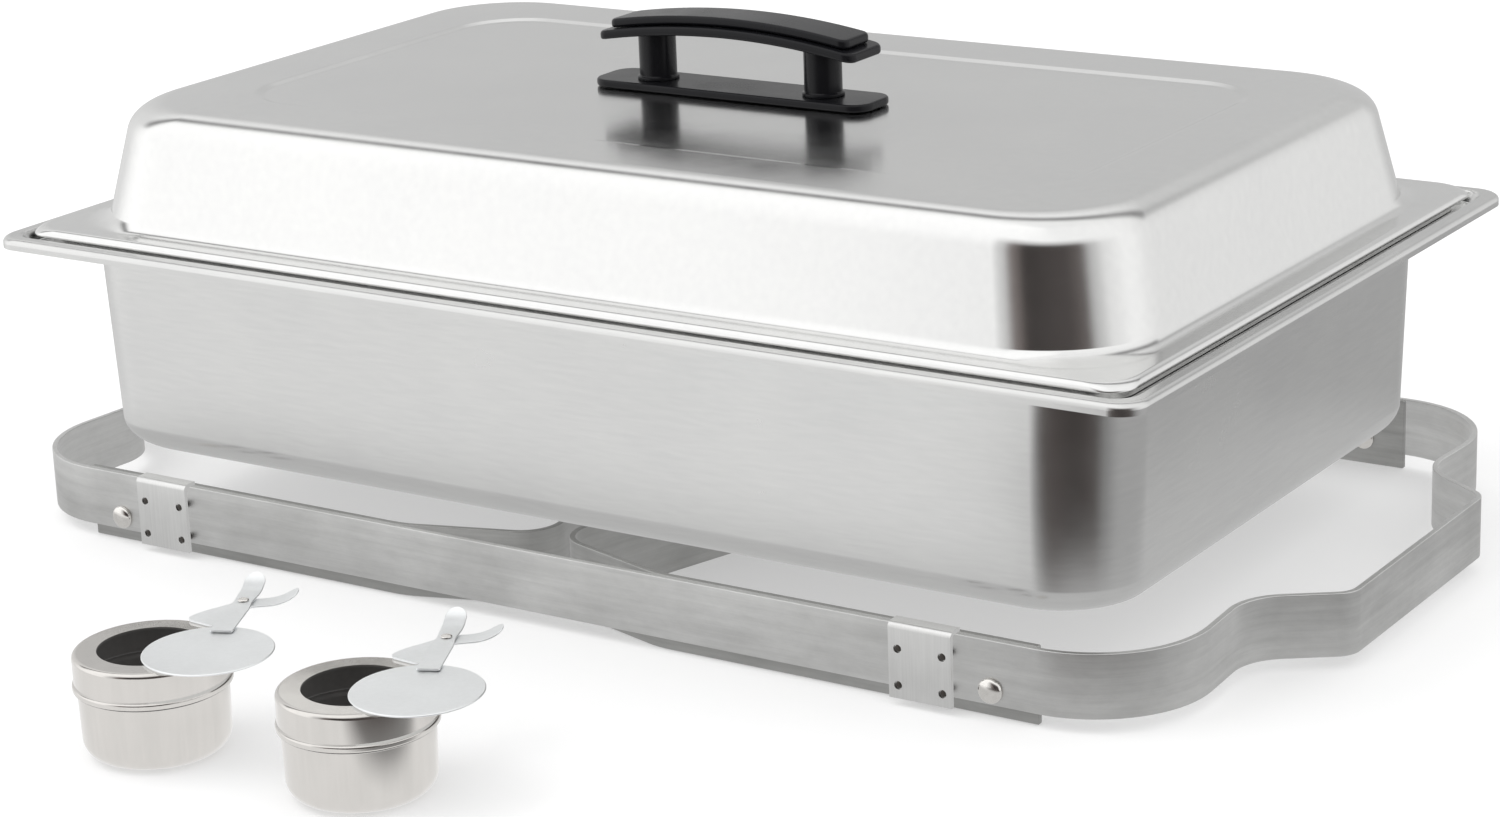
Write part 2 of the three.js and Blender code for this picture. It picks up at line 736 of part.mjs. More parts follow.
place(dish, 'frame_ring', frameRing(), brushedBand);
place(dish, 'left_leg', leg(-1), brushedBand);
place(dish, 'right_leg', leg(1), brushedBand);
for (const side of sides) {
  place(dish, `${side.name}_bracket`, bracket(side), satinClip);
  place(dish, `${side.name}_pivot_rivet`, pivotRivet(side), polishedRivet);
  studPlaces().forEach((spot, i) => {
    place(dish, `${side.name}_stud_${i + 1}`, stud(side, spot), darkStud);
  });
}

place(dish, 'water_pan', waterPan(), satinPan);
place(dish, 'food_pan', foodPan(), satinPan);
place(dish, 'lid_shell', lidShell(), mirrorLid);
place(dish, 'handle_plate', handlePlate(), blackPlastic);
place(dish, 'handle_lower_grip', bowedSlab(lowerTier, 0, tierHeight), blackPlastic);
place(dish, 'handle_upper_grip', bowedSlab(upperTier, tierHeight + gap, 2 * tierHeight + gap), blackPlastic);
for (const [name, side] of [['left', -1], ['right', 1]]) {
  place(dish, `${name}_handle_post`, handlePost(side), blackPlastic);
  place(dish, `${name}_handle_screw`, handleScrew(side), satinClip);
}

for (const spot of holderPlaces) {
  const holder = fuelHolder(spot);
  holder.position.y += dishY;
  set.add(holder);
}

export default set;
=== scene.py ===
"""A full-size chafing dish on its folded band frame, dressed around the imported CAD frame.

Every visible piece is a fine mesh built in the place of its CAD node, with a procedural metal
or plastic.  Shapes are in millimetres with the middle of the dish as x = y = 0 and the table
as z = 0, like the CAD; new_object turns them into metres in the shared frame."""

import math

import bmesh
import bpy
from mathutils import Matrix, Vector


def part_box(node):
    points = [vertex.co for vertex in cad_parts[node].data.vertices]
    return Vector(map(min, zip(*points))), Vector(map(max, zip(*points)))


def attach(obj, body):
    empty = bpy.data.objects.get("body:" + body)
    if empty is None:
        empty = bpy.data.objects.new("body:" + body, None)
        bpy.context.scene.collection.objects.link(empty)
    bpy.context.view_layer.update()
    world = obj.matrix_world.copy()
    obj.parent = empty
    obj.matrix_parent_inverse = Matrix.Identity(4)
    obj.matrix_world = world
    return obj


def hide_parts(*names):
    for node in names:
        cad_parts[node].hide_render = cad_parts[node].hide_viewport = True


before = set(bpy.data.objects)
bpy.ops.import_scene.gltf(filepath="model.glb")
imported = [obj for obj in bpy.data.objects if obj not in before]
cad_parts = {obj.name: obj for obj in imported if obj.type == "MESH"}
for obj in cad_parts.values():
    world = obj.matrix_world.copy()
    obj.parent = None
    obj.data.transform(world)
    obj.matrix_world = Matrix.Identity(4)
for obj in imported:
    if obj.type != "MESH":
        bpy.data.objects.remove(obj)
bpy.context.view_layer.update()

TO_METRES = 0.001
TURN = 2 * math.pi

ring_low, ring_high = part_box("frame_ring")
DISH = Vector(((ring_low.x + ring_high.x) / 2, (ring_low.y + ring_high.y) / 2, 0))


def extent(node):
    """Lowest and highest corner of a CAD node, in millimetres from the middle of the dish."""
    low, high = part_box(node)
    return (low - DISH) / TO_METRES, (high - DISH) / TO_METRES


RING_FACE = extent("frame_ring")[1].y

# ---- Sizes that the CAD boxes don't give, in millimetres ----
GAP = 0.3  # between pieces that touch
SHARP = 38  # degrees between faces from which an edge stays hard
LEAST_CORNER = 0.6  # radius of the tightest corner of a pressed sheet
MOST_ROUNDING = 0.45  # edge radius of a bar's section, at most, in widths or heights

# Folding frame
BAND = 2.5
BAND_EDGE = 0.4  # rounding of the band's rolled edges
END_RAIL_X = 288
NOTCH = (283, 88.2, 24)  # x, y and radius of the inward corner beside each grip bay
BUMP = (65.2, 12)  # y and radius of the grip bay's outer corner
RING_CORNER = 48
LEG_GAP = 0.4
ARM_BEND = (64, 40)  # x and radius where a leg's arm starts to bend inwards
FOOT = (1.75, 151, 16)
CROSSBAR = (32, 52, 70)
PIVOT = (218, 11.4)  # x and z of the pivot rivets
PIVOT_SHANK = 3
PIVOT_HEAD = (5, 2.4)  # radius and height
PIVOT_TAIL = (4.4, 1.1)
PIVOT_EDGE = (0.5, 0.4)  # upright edge of the head, and what is broken off the tail's edge
BRACKET_X = 190
BRACKET_THICK = 1.6
BRACKET_STAND_OFF = 3  # between the ring's face and the bracket's plate
BRACKET_BEND = 1.6
STUD_SPREAD = (9.7, 8.1, 22.9)  # sideways from the bracket's middle, lower and upper height
STUD_RADIUS = 1.4
STUD_HOLE = 1.7
STUD_SUNK = 0.4  # how far a stud stays below the bracket's face
STUD_CROWN = 0.5  # height of its rounded end
DRILL = (1, 9)  # where the drill for its hole begins and ends, out from the ring
CUT_EDGE = 0.35  # rounding of a bracket's cut edges

# Water pan
PAN_SHEET = 1
PAN_CORNER = 12
BODY_INSET = 23.8
BODY_CORNER = 33
PAN_DRAFT = 3
PAN_FILLET = 12
PAN_MIDDLE = 20  # from the bottom's fillet in to the edge of its flat middle
WALL_FILLET = 3  # where the wall turns out to the ledge or the rim
STEP_FOOT = (8.6, 10.5)  # inset and corner radius of the step between ledge and rim
STEP_TOP = (6.4, 10)
STEP_FILLET = 1.2
RIM_FILLET = 2.2
LEDGE = 126.1  # middle of the sheet under the food pan's rim
RIM_BOTTOM = 126.8

# Food pan
FOOD_SHEET = 0.9
FOOD_CORNER = 14
FOOD_INSET = 17
FOOD_WALL_CORNER = 34
FOOD_DRAFT = 5
FOOD_FILLET = 15

# Lid
LID_SHEET = 1
FLANGE_TOP = 135
FLANGE_CORNER = 12
DOME_INSET = 13.5
DOME_CORNER = 46
DOME_TOP_CORNER = 43
DOME_DRAFT = 11
DOME_FILLET = 14
DOME_FOOT = 5.5  # fillet between the dome and its flange
PANEL_SINK = 1.1  # how far the panel in the lid's top is pressed down
PANEL_INSET = 69
PANEL_CORNER = 28
PANEL_SLOPE = (4, 5)  # its width, and how much larger its corners are at the top
PANEL_FILLET = 5
PANEL_MIDDLE = (30, 8)  # from the panel's edge in to its flat middle, and its corners
FLANGE_FILLET = 2.4

# Lid handle
PLATE_CORNER = 9
PLATE_EDGE = 1.1
POST_X = 42.4
POST_RADIUS = 8.2
POST_TOP = 1  # how far a post reaches into the grip
COLLAR = (9.1, 1.3)  # radius and height
COLLAR_EDGE = 0.5
COLLAR_STEP = (0.4, 0.5)  # width and height of the slope from the collar up to the post
SCREW = (4, 2, 1.9)  # head radius, head height and shank radius
SCREW_ROUNDING = (3, 1.2)  # of the head, inwards and upwards
GRIP_BOW = 6  # how far the grip's ends come down
GRIP_UNDER = 211.5
TIER_HEIGHT = 4
TIER_EDGE = 1.3
LOWER_CORNER = 5
UPPER_CORNER = 4

# Fuel holders, measured from their own axis
HOLDER_TURN = math.radians(33.7)
HOLDER_SHEET = 0.8
CAP_RADIUS = 29.4
CAP_OPENING = 19.6
CAP_FILLET = 1.6
CUP_RADIUS = 28.4
CUP_TAPER = 0.6
CUP_FILLET = 7
CUP_BEAD = (1.7, 3.4)  # how far the bead stands out, and its height
BEAD_CREST = 0.25  # height of the slopes below and above its crest, as a share of its own
BEAD_FILLETS = (0.8, 0.6)  # below the bead, and on it
CUP_NECK = (0.6, 0.2)  # how far the neck stands in, and starts below the bead's top
INWARD = -0.3  # outward part of its normal below which a face looks inwards
LEVEL = 0.5  # upright part of its normal above which a face is level
DAMPER_RADIUS = 24.8
DAMPER_PIVOT = 49.8  # from the holder's axis to the damper's rivet
DAMPER_DIRECTION = math.radians(52.6)
DAMPER_OPEN = math.radians(29)
TAB_TURN = math.radians(-45)
TAB = (20, 8.4, 3.6, 8.4)  # length, width, rise and the length that stays flat
TAB_END = 20.8  # where its rounded tip ends
TAB_ROUNDING = 4
STRIP_EDGE = 0.3
STRIP_LEAST = 0.3  # least half width of an arm
STRIP_STEP = 1.2  # between the stations along an arm
ARM_WIDTH = 9
ARM_WAIST = 7.4  # the damper arm's width at its rivet
ARM_NARROW = 9  # how far before the rivet the arm starts to narrow
ARM_REACH = 32  # from the rivet to the arm's end on the disc
ARM_ROUNDING = 0.8  # of its corners on the disc
ROOT = (23.8, 13, 16, 19)  # the cap arm: root length, end width, shoulder width, neck length
ROOT_FLARE = 4  # over which length the root widens to its shoulders
ROOT_ROUNDING = 2
ROOT_BEND = 5  # half the length over which the cap arm turns at the rivet
DAMPER_RIVET = (1.3, 2.2, 0.8)  # radius, head radius and head height
DAMPER_EDGE = 0.3  # broken off the disc's and the rivet's edges

# Camera
CAMERA_ANGLES = (33.66, 17.38, -2.18)  # azimuth, elevation and roll, in degrees
CAMERA_TARGET = (-0.00122, 0, 0.04249)  # from the middle of the dish, in metres
CAMERA_DISTANCE = 1.6018
CAMERA_LENS = 86.82

# Studio, with its lengths in metres
FLOOR_HALF = 6
FLOOR_Z = -0.0005
FLOOR_GLOW = 0.38  # lightens the shadows on the floor
ROOM_LIGHT = 1.15  # what the room casts on everything that isn't metal
WHITE = (1, 1, 1)
WARM = (1.0, 0.86, 0.82)  # tint of what is dimmer than DIM
DIM = 0.3

# What the metal sees of the room: stops of (azimuth in degrees, brightness), and where the walls
# turn into the sky, as the upright part of the way to it
HORIZON = (
    (-180, 0.63), (-146, 0.60), (-110, 0.85), (-70, 1.3), (-34, 1.26),
    (-19, 0.75), (-6, 0.2), (6, 0.05), (42, 0.07), (60, 0.12),
    (72, 0.62), (88, 0.95), (110, 1.1), (145, 0.95), (180, 0.63),
)
SKY = (
    (-180, 1.05), (-120, 1.1), (-75, 1.3), (-10, 1.25),
    (60, 1.1), (120, 1.1), (165, 1.05), (180, 1.05),
)
SKY_LINE = (0.45, 0.75)

# A dark beam overhead, square to an azimuth in degrees
BEAM_AZIMUTH = -146
BEAM_PLACE = 0.5  # how far over towards that azimuth
BEAM_HALF_WIDTHS = (0.025, 0.14)  # of its dark middle, and of the whole beam
BEAM_FOOT = (0.35, 0.5)  # where it fades in above the horizon
BEAM_BRIGHTNESS = 0.24

# A glowing card under the object that only the metal sees, painting reflections on it, with stops like
# those of the room
CARD = (
    (-180, 0.55), (-120, 0.6), (-75, 1.0), (-45, 0.98), (-32, 0.30), (-18, 0.10),
    (34, 0.06), (62, 0.085), (82, 0.30), (104, 0.47), (150, 0.47), (180, 0.5),
)
CARD_CENTRE = (0.262, 0.158)  # where the stops fan out, just outside the pan's front right corner
CARD_NEAR = (0.64, 0.06, 0.125)  # brightness close to the pan, and from where to where it fades
CARD_FRONT = (0.98, 0.09, 0.13)  # the same for the front of the card, fading to the right
CARD_FRONT_EDGE = 0.03
CARD_SIZE = (0.85, 0.8)  # half length and half width
CARD_Z = -0.001

SIDES = (("front_left", -1, -1), ("front_right", 1, -1), ("back_left", -1, 1), ("back_right", 1, 1))


# -------------------- outlines
def arc(x, y, radius, first, last, steps):
    """Points of an arc, its angles in degrees."""
    angles = [math.radians(first + (last - first) * k / steps) for k in range(steps + 1)]
    return [(x + radius * math.cos(a), y + radius * math.sin(a)) for a in angles]


def fillet(before, corner, after, radius, step):
    """An arc that rounds a corner of a flat path.  Corners may carry more numbers after x and
    y; those are blended along the arc."""
    here, back, on = (Vector(p[:2]) for p in (corner, before, after))
    to_back, to_on = (back - here).normalized(), (on - here).normalized()
    half = to_back.angle(to_on) / 2
    reach = radius / math.tan(half)
    centre = here + (to_back + to_on).normalized() * radius / math.sin(half)
    start, end = here + to_back * reach, here + to_on * reach
    first = math.atan2(*(start - centre).yx)
    sweep = math.atan2(*(end - centre).yx) - first
    sweep = math.atan2(math.sin(sweep), math.cos(sweep))
    steps = max(2, math.ceil(abs(sweep) / math.radians(step)))
    more = []
    for at_back, at_here, at_on in zip(before[2:], corner[2:], after[2:]):
        share_back = reach / (back - here).length
        share_on = reach / (on - here).length
        more.append((at_here + (at_back - at_here) * share_back,
                     at_here + (at_on - at_here) * share_on))
    points = []
    for k in range(steps + 1):
        angle = first + sweep * k / steps
        flat = centre + Vector((math.cos(angle), math.sin(angle))) * radius
        points.append((flat.x, flat.y, *(a + (b - a) * k / steps for a, b in more)))
    return points


def round_corners(corners, radii, closed, step=5):
    """A flat path or outline with its corners rounded."""
    count = len(corners)
    points = []
    for i, (corner, radius) in enumerate(zip(corners, radii)):
        if not radius or (not closed and i in (0, count - 1)):
            points.append(tuple(corner))
        else:
            points += fillet(corners[i - 1], corner, corners[(i + 1) % count], radius, step)
    return points


def moved_left(points, distance, closed=False):
    """A flat path moved to its left."""
    count = len(points)
    flat = [Vector(p[:2]) for p in points]
    moved = []
    for i, here in enumerate(flat):
        sides = []
        if closed or i:
            sides.append(here - flat[i - 1])
        if closed or i < count - 1:
            sides.append(flat[(i + 1) % count] - here)
        normals = [Vector((-side.y, side.x)).normalized() for side in sides]
        mean = sum(normals, Vector((0, 0))).normalized()
        moved.append(here + mean * distance / mean.dot(normals[0]))
    return moved


def dome(radius, rim, top, steps):
    """The outline of a low dome, from its rim up to the axis."""
    quarter = arc(0, 0, 1, 0, 90, steps)[:-1]
    return [(radius * c, rim + (top - rim) * s) for c, s in quarter] + [(0, top)]


def sheet_outline(path, thick):
    """The closed outline of a sheet whose middle follows a path."""
    return moved_left(path, -thick / 2) + moved_left(path, thick / 2)[::-1]


def rounded_rectangle(x, y, corner, steps):
    """An outline around (0, 0), x and y being half its width and height."""
    points = []
    for quadrant, (sx, sy) in enumerate(((1, 1), (-1, 1), (-1, -1), (1, -1))):
        turn = 90 * quadrant
        points += arc(sx * (x - corner), sy * (y - corner), corner, turn, turn + 90, steps)
    return points


def rounded_section(width, height, edge):
    """Section of a bar with round edges, around (0, 0)."""
    edge = min(edge, MOST_ROUNDING * width, MOST_ROUNDING * height)
    return rounded_rectangle(width / 2, height / 2, edge, 3)


# -------------------- meshes
def new_object(name, points, faces, sharp=SHARP):
    """A smooth-shaded object, facing out, from points in millimetres from the dish's middle."""
    mesh = bpy.data.meshes.new(name)
    mesh.from_pydata([DISH + Vector(p) * TO_METRES for p in points], [], faces)
    build = bmesh.new()
    build.from_mesh(mesh)
    bmesh.ops.remove_doubles(build, verts=build.verts, dist=1e-6)
    bmesh.ops.recalc_face_normals(build, faces=build.faces)
    build.to_mesh(mesh)
    build.free()
    obj = linked(name, mesh)
    shade_smooth(obj, sharp)
    return obj


def linked(name, data):
    """A new object in the scene."""
    obj = bpy.data.objects.new(name, data)
    bpy.context.scene.collection.objects.link(obj)
    return obj


def shade_smooth(obj, sharp):
    """Smooth shading with kept hard edges, and flat faces kept flat by weighted normals."""
    obj.data.polygons.foreach_set("use_smooth", [True] * len(obj.data.polygons))
    obj.data.set_sharp_from_angle(angle=math.radians(sharp))
    normals = obj.modifiers.new("weighted_normals", "WEIGHTED_NORMAL")
    normals.keep_sharp = True
    normals.weight = 80


def with_modifiers_applied(obj):
    evaluated = obj.evaluated_get(bpy.context.evaluated_depsgraph_get())
    old = obj.data
    done = bpy.data.meshes.new_from_object(evaluated)
    obj.modifiers.clear()
    obj.data = done
    bpy.data.meshes.remove(old)


def cut_away(obj, tool):
    """Cuts another closed object away from obj."""
    obj.modifiers.clear()
    tool.modifiers.clear()
    boolean = obj.modifiers.new("boolean", "BOOLEAN")
    boolean.operation = "DIFFERENCE"
    boolean.solver = "EXACT"
    boolean.object = tool
    bpy.context.view_layer.update()
    with_modifiers_applied(obj)
    bpy.data.objects.remove(tool)


def broken_edges(obj, width):
    """Rounds an object's hard edges."""
    obj.modifiers.clear()
    bevel = obj.modifiers.new("edges", "BEVEL")
    bevel.width = width * TO_METRES
    bevel.segments = 2
    bevel.limit_method = "ANGLE"
    bevel.angle_limit = math.radians(40)
    bpy.context.view_layer.update()
    with_modifiers_applied(obj)
    shade_smooth(obj, SHARP)


def bridge(loops, closed_along=False):
    """Points and faces of a skin over loops of equal length, with its ends closed."""
    around = len(loops[0])
    points = [point for loop in loops for point in loop]
    faces = []
    for row in range(len(loops) if closed_along else len(loops) - 1):
        this, following = row * around, (row + 1) % len(loops) * around
        for i in range(around):
            j = (i + 1) % around
            faces.append((this + i, this + j, following + j, following + i))
    if not closed_along:
        faces.append(tuple(range(around)))
        faces.append(tuple(range(len(points) - around, len(points))))
    return points, faces


def swept_band(name, track, closed, low, high):
    """A strip on edge whose middle follows a flat track."""
    section = rounded_section(BAND, high - low, BAND_EDGE)
    middle = (low + high) / 2
    loops = [[] for _ in track]
    for across, up in section:
        for loop, point in zip(loops, moved_left(track, across, closed)):
            loop.append((point.x, point.y, middle + up))
    if not closed:
        loops = [blunt_end(loops[0]), *loops, blunt_end(loops[-1])]
        loops[1] = shifted(loops[1], loops[2])
        loops[-2] = shifted(loops[-2], loops[-3])
    return new_object(name, *bridge(loops, closed))


def shifted(loop, inner):
    """A strip's loop moved towards the next one, by the rounding of its end."""
    way = sum((Vector(p) for p in inner), Vector()) - sum((Vector(p) for p in loop), Vector())
    way.normalize()
    return [Vector(p) + way * BAND_EDGE for p in loop]


def blunt_end(loop):
    """The outermost loop of a strip's end, a little smaller than the strip."""
    centre = sum((Vector(p) for p in loop), Vector()) / len(loop)
    reach = max((Vector(p) - centre).length for p in loop)
    flat = max(math.hypot(p[0] - centre.x, p[1] - centre.y) for p in loop)
    smaller = []
    for point in loop:
        out = Vector(point) - centre
        out.x *= 1 - BAND_EDGE / flat
        out.y *= 1 - BAND_EDGE / flat
        out.z *= 1 - BAND_EDGE / reach
        smaller.append(centre + out)
    return smaller


def pressed(name, half, path, thick, steps=14):
    """A tray or lid pressed from sheet: half is half the rim's length and width, and the path
    in the middle of the sheet holds (inset from the rim, height, corner radius)."""
    flat = [(-inset, z) for inset, z, _ in path]
    under, over = [], []
    for side, loops in ((-1, under), (1, over)):
        for point, (inset, _, corner) in zip(moved_left(flat, side * thick / 2), path):
            radius = max(corner + point.x + inset, LEAST_CORNER)
            x, y = half[0] + point.x, half[1] + point.x
            loops.append([(*p, point.y) for p in rounded_rectangle(x, y, radius, steps)])
    return new_object(name, *bridge(under + over[::-1]), sharp=50)


def lathe(name, profile, centre, sides, along_y=0):
    """Turns an outline of (radius, height) round an axis through centre: round Z, or round Y
    with along_y as the sign of the direction of height."""
    count = len(profile)
    closed = profile[0][0] > 0
    points, faces = [], []
    for k in range(sides):
        angle = TURN * k / sides
        for radius, height in profile:
            a, b = radius * math.cos(angle), radius * math.sin(angle)
            turned = Vector((a, along_y * height, b)) if along_y else Vector((a, b, height))
            points.append(Vector(centre) + turned)
        this, following = k * count, (k + 1) % sides * count
        for i in range(count if closed else count - 1):
            j = (i + 1) % count
            faces.append((this + i, following + i, following + j, this + j))
    return new_object(name, points, faces)


def plate(name, half_outline, low, high, edge, lift=lambda x: 0):
    """A plate with round edges whose outline is mirrored across X.  half_outline runs over its
    +Y half, from +X to -X; lift raises the plate along Z as a function of x."""
    turns = [math.radians(a) for a in (0, 30, 60, 90)]
    rounding = [(edge * (1 - math.sin(a)), edge * (1 - math.cos(a))) for a in turns]
    rings = [(inset, low + up) for inset, up in rounding]
    rings += [(inset, high - up) for inset, up in reversed(rounding)]
    loops = []
    for inset, z in rings:
        upper = [(p.x, max(p.y, 0)) for p in moved_left(half_outline, inset)]
        lower = [(x, -y) for x, y in reversed(upper)]
        loops.append([(x, y, z + lift(x)) for x, y in upper + lower])
    around = len(loops[0])
    points, faces = bridge(loops)
    del faces[-2:]
    for start in (0, len(points) - around):
        for i in range(around // 2 - 1):
            j = around - 1 - i
            faces.append((start + i, start + i + 1, start + j - 1, start + j))
    return new_object(name, points, faces)


def finished(obj, body, node, slot, finish=None):
    """Puts a piece in the place of its CAD node, on the node's body.  Its material is named
    after the slot, unless finish names another."""
    obj.data.materials.clear()
    obj.data.materials.append(FINISHES[finish or slot])
    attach(obj, body)
    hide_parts(node)


# -------------------- materials
class Nodes:
    """A material's nodes, with short calls for the few kinds that are used here."""

    def __init__(self, name):
        self.material = bpy.data.materials.new(name)
        self.material.use_nodes = True
        self.tree = self.material.node_tree
        self.shader = self.tree.nodes["Principled BSDF"]
        self.place = self.new("ShaderNodeTexCoord").outputs["Object"]

    @classmethod
    def for_world(cls, world):
        world.use_nodes = True
        nodes = cls.__new__(cls)
        nodes.tree = world.node_tree
        nodes.place = nodes.new("ShaderNodeTexCoord").outputs["Generated"]
        return nodes

    def new(self, kind, **settings):
        node = self.tree.nodes.new(kind)
        for key, value in settings.items():
            setattr(node, key, value)
        return node

    def link(self, output, socket):
        self.tree.links.new(output, socket)

    def noise(self, scale, detail=4, stretch=(1, 1, 1), roughness=0.55):
        """Noise of about scale features per metre, more along a stretched axis."""
        mapping = self.new("ShaderNodeMapping")
        mapping.inputs["Scale"].default_value = stretch
        self.link(self.place, mapping.inputs["Vector"])
        noise = self.new("ShaderNodeTexNoise")
        noise.inputs["Scale"].default_value = scale
        noise.inputs["Detail"].default_value = detail
        noise.inputs["Roughness"].default_value = roughness
        self.link(mapping.outputs["Vector"], noise.inputs["Vector"])
        return noise.outputs["Fac"]

    def ranged(self, value, low, high, from_low=0.0, from_high=1.0):
        node = self.new("ShaderNodeMapRange")
        node.inputs["From Min"].default_value = from_low
        node.inputs["From Max"].default_value = from_high
        node.inputs["To Min"].default_value = low
        node.inputs["To Max"].default_value = high
        self.link(value, node.inputs["Value"])
        return node.outputs["Result"]

    def math(self, operation, *values):
        node = self.new("ShaderNodeMath", operation=operation)
        for socket, value in zip(node.inputs, values):
            if isinstance(value, (int, float)):
                socket.default_value = value
            else:
                self.link(value, socket)
        return node.outputs["Value"]

    def mixed(self, factor, first, second):
        node = self.new("ShaderNodeMix", data_type="RGBA")
        self.link(factor, node.inputs["Factor"])
        for socket, colour in ((node.inputs[6], first), (node.inputs[7], second)):
            if isinstance(colour, tuple):
                socket.default_value = (*colour, 1)
            else:
                self.link(colour, socket)
        return node.outputs[2]

    def bump(self, height, depth, strength=1.0, under=None):
        """Bump of a depth in millimetres."""
        node = self.new("ShaderNodeBump")
        node.inputs["Strength"].default_value = strength
        node.inputs["Distance"].default_value = depth * TO_METRES
        self.link(height, node.inputs["Height"])
        if under:
            self.link(under, node.inputs["Normal"])
        return node.outputs["Normal"]


def scratches(nodes, amount):
    """Patches of fine hairlines: up to amount on a line, and 0 between them."""
    lines = []
    for stretch in ((1, 9, 1), (9, 1, 1), (6, 5, 1)):
        wavy = nodes.noise(150, 2, stretch)
        beside = nodes.math("ABSOLUTE", nodes.math("SUBTRACT", wavy, 0.5))
        lines.append(nodes.ranged(beside, 1, 0, 0, 0.006))
    all_lines = nodes.math("MAXIMUM", nodes.math("MAXIMUM", lines[0], lines[1]), lines[2])
    patches = nodes.ranged(nodes.noise(14, 2), 0, amount, 0.45, 0.75)
    return nodes.math("MULTIPLY", all_lines, patches)


def steel(name, light, dark, roughness, grain, grain_depth, anisotropy, cloud, marks=0.15):
    """Stainless steel: a rolled or polished grain, cloudy colour and gloss, and fine scratches.
    grain is how many lines there are per metre along X, Y and Z, and cloud how many clouds;
    roughness is (low, high)."""
    nodes = Nodes(name)
    shader = nodes.shader
    shader.inputs["Metallic"].default_value = 1
    shader.inputs["Anisotropic"].default_value = anisotropy
    lines = nodes.noise(1, 5, grain, 0.65)
    clouds = nodes.noise(cloud, 5)
    blotches = nodes.noise(cloud * 4, 3)
    wear = scratches(nodes, marks)

    tone = nodes.math("ADD", nodes.math("MULTIPLY", lines, 0.5), nodes.math("MULTIPLY", clouds, 0.5))
    nodes.link(nodes.mixed(nodes.ranged(tone, 0, 1, 0.35, 0.65), dark, light), shader.inputs["Base Color"])

    rough = nodes.math("ADD", nodes.math("MULTIPLY", clouds, 0.6), nodes.math("MULTIPLY", blotches, 0.4))
    rough = nodes.ranged(rough, *roughness, 0.3, 0.7)
    nodes.link(nodes.math("ADD", rough, nodes.math("MULTIPLY", wear, 0.2)), shader.inputs["Roughness"])

    grained = nodes.bump(lines, grain_depth)
    nodes.link(nodes.bump(wear, 0.01, 0.4, grained), shader.inputs["Normal"])
    return nodes


def rolled_strip(name, light, dark):
    """Rolled strip with a dull blotchy skin and faint lines along it."""
    nodes = steel(name, light, dark, (0.30, 0.44), (10, 10, 330), 0.006, 0.3, 22, 0.3)
    blotches = nodes.noise(90, 6, (0.35, 0.35, 1), 0.7)
    colour = nodes.shader.inputs["Base Color"]
    tone = nodes.new("ShaderNodeVectorMath", operation="SCALE")
    nodes.link(colour.links[0].from_socket, tone.inputs[0])
    nodes.link(nodes.ranged(blotches, 0.91, 1.09, 0.3, 0.7), tone.inputs["Scale"])
    nodes.link(tone.outputs["Vector"], colour)
    normal = nodes.shader.inputs["Normal"]
    nodes.link(nodes.bump(blotches, 0.008, 0.5, normal.links[0].from_socket), normal)
    return nodes.material


def brushed_band():
    return rolled_strip("brushed_band", (0.72, 0.72, 0.71), (0.57, 0.57, 0.56))


def shaded_leg_band():
    """The ring's strip painted darker and duller: painted shade for the legs, which stand in the shade
    inside the ring.
    """
    return rolled_strip("shaded_leg_band", (0.46, 0.46, 0.45), (0.33, 0.33, 0.32))


def satin_clip():
    return steel("satin_clip", (0.80, 0.80, 0.79), (0.70, 0.70, 0.69), (0.26, 0.38),
                 (1200, 1200, 30), 0.01, 0.3, 60).material


def polished_rivet():
    return steel("polished_rivet", (0.83, 0.81, 0.78), (0.74, 0.72, 0.69), (0.10, 0.20),
                 (400, 400, 400), 0.004, 0, 200).material


def satin_pan():
    return steel("satin_pan", (0.71, 0.71, 0.70), (0.66, 0.66, 0.655), (0.21, 0.28),
                 (60, 60, 500), 0.005, 0.2, 18, 0.05).material


def mirror_lid():
    return steel("mirror_lid", (0.80, 0.80, 0.79), (0.76, 0.76, 0.755), (0.14, 0.20),
                 (260, 260, 260), 0.003, 0, 14).material


def polished_holder():
    """Bright pressed steel with faint draw marks down its walls; its inside and the faces under it are
    painted near-black and not metal, as painted shade.
    """
    nodes = steel("polished_holder", (0.71, 0.687, 0.66), (0.65, 0.63, 0.604), (0.10, 0.17),
                  (200, 200, 12), 0.003, 0, 45)
    shader = nodes.shader
    inside = nodes.new("ShaderNodeAttribute", attribute_name="inside").outputs["Fac"]
    # a mottled near-black for the marked faces: painted shade
    shade_mottle = nodes.noise(220)
    bare = shader.inputs["Base Color"].links[0].from_socket
    black = nodes.mixed(shade_mottle, (0.026, 0.024, 0.022), (0.062, 0.057, 0.053))
    nodes.link(nodes.mixed(inside, bare, black), shader.inputs["Base Color"])
    nodes.link(nodes.math("SUBTRACT", 1, inside), shader.inputs["Metallic"])
    bare_rough = shader.inputs["Roughness"].links[0].from_socket
    rough = nodes.math("MAXIMUM", bare_rough, nodes.math("MULTIPLY", inside, 0.6))
    nodes.link(rough, shader.inputs["Roughness"])
    return nodes.material


def pale_damper():
    return steel("pale_damper", (0.92, 0.935, 0.94), (0.87, 0.885, 0.89), (0.36, 0.46),
                 (500, 500, 100), 0.004, 0.2, 60).material


def dark_stud():
    nodes = Nodes("dark_stud")
    shader = nodes.shader
    shader.inputs["Metallic"].default_value = 0.6
    clouds = nodes.noise(900)
    colour = nodes.mixed(clouds, (0.03, 0.026, 0.022), (0.075, 0.066, 0.058))
    nodes.link(colour, shader.inputs["Base Color"])
    nodes.link(nodes.ranged(clouds, 0.3, 0.5), shader.inputs["Roughness"])
    nodes.link(nodes.bump(clouds, 0.05), shader.inputs["Normal"])
    return nodes.material


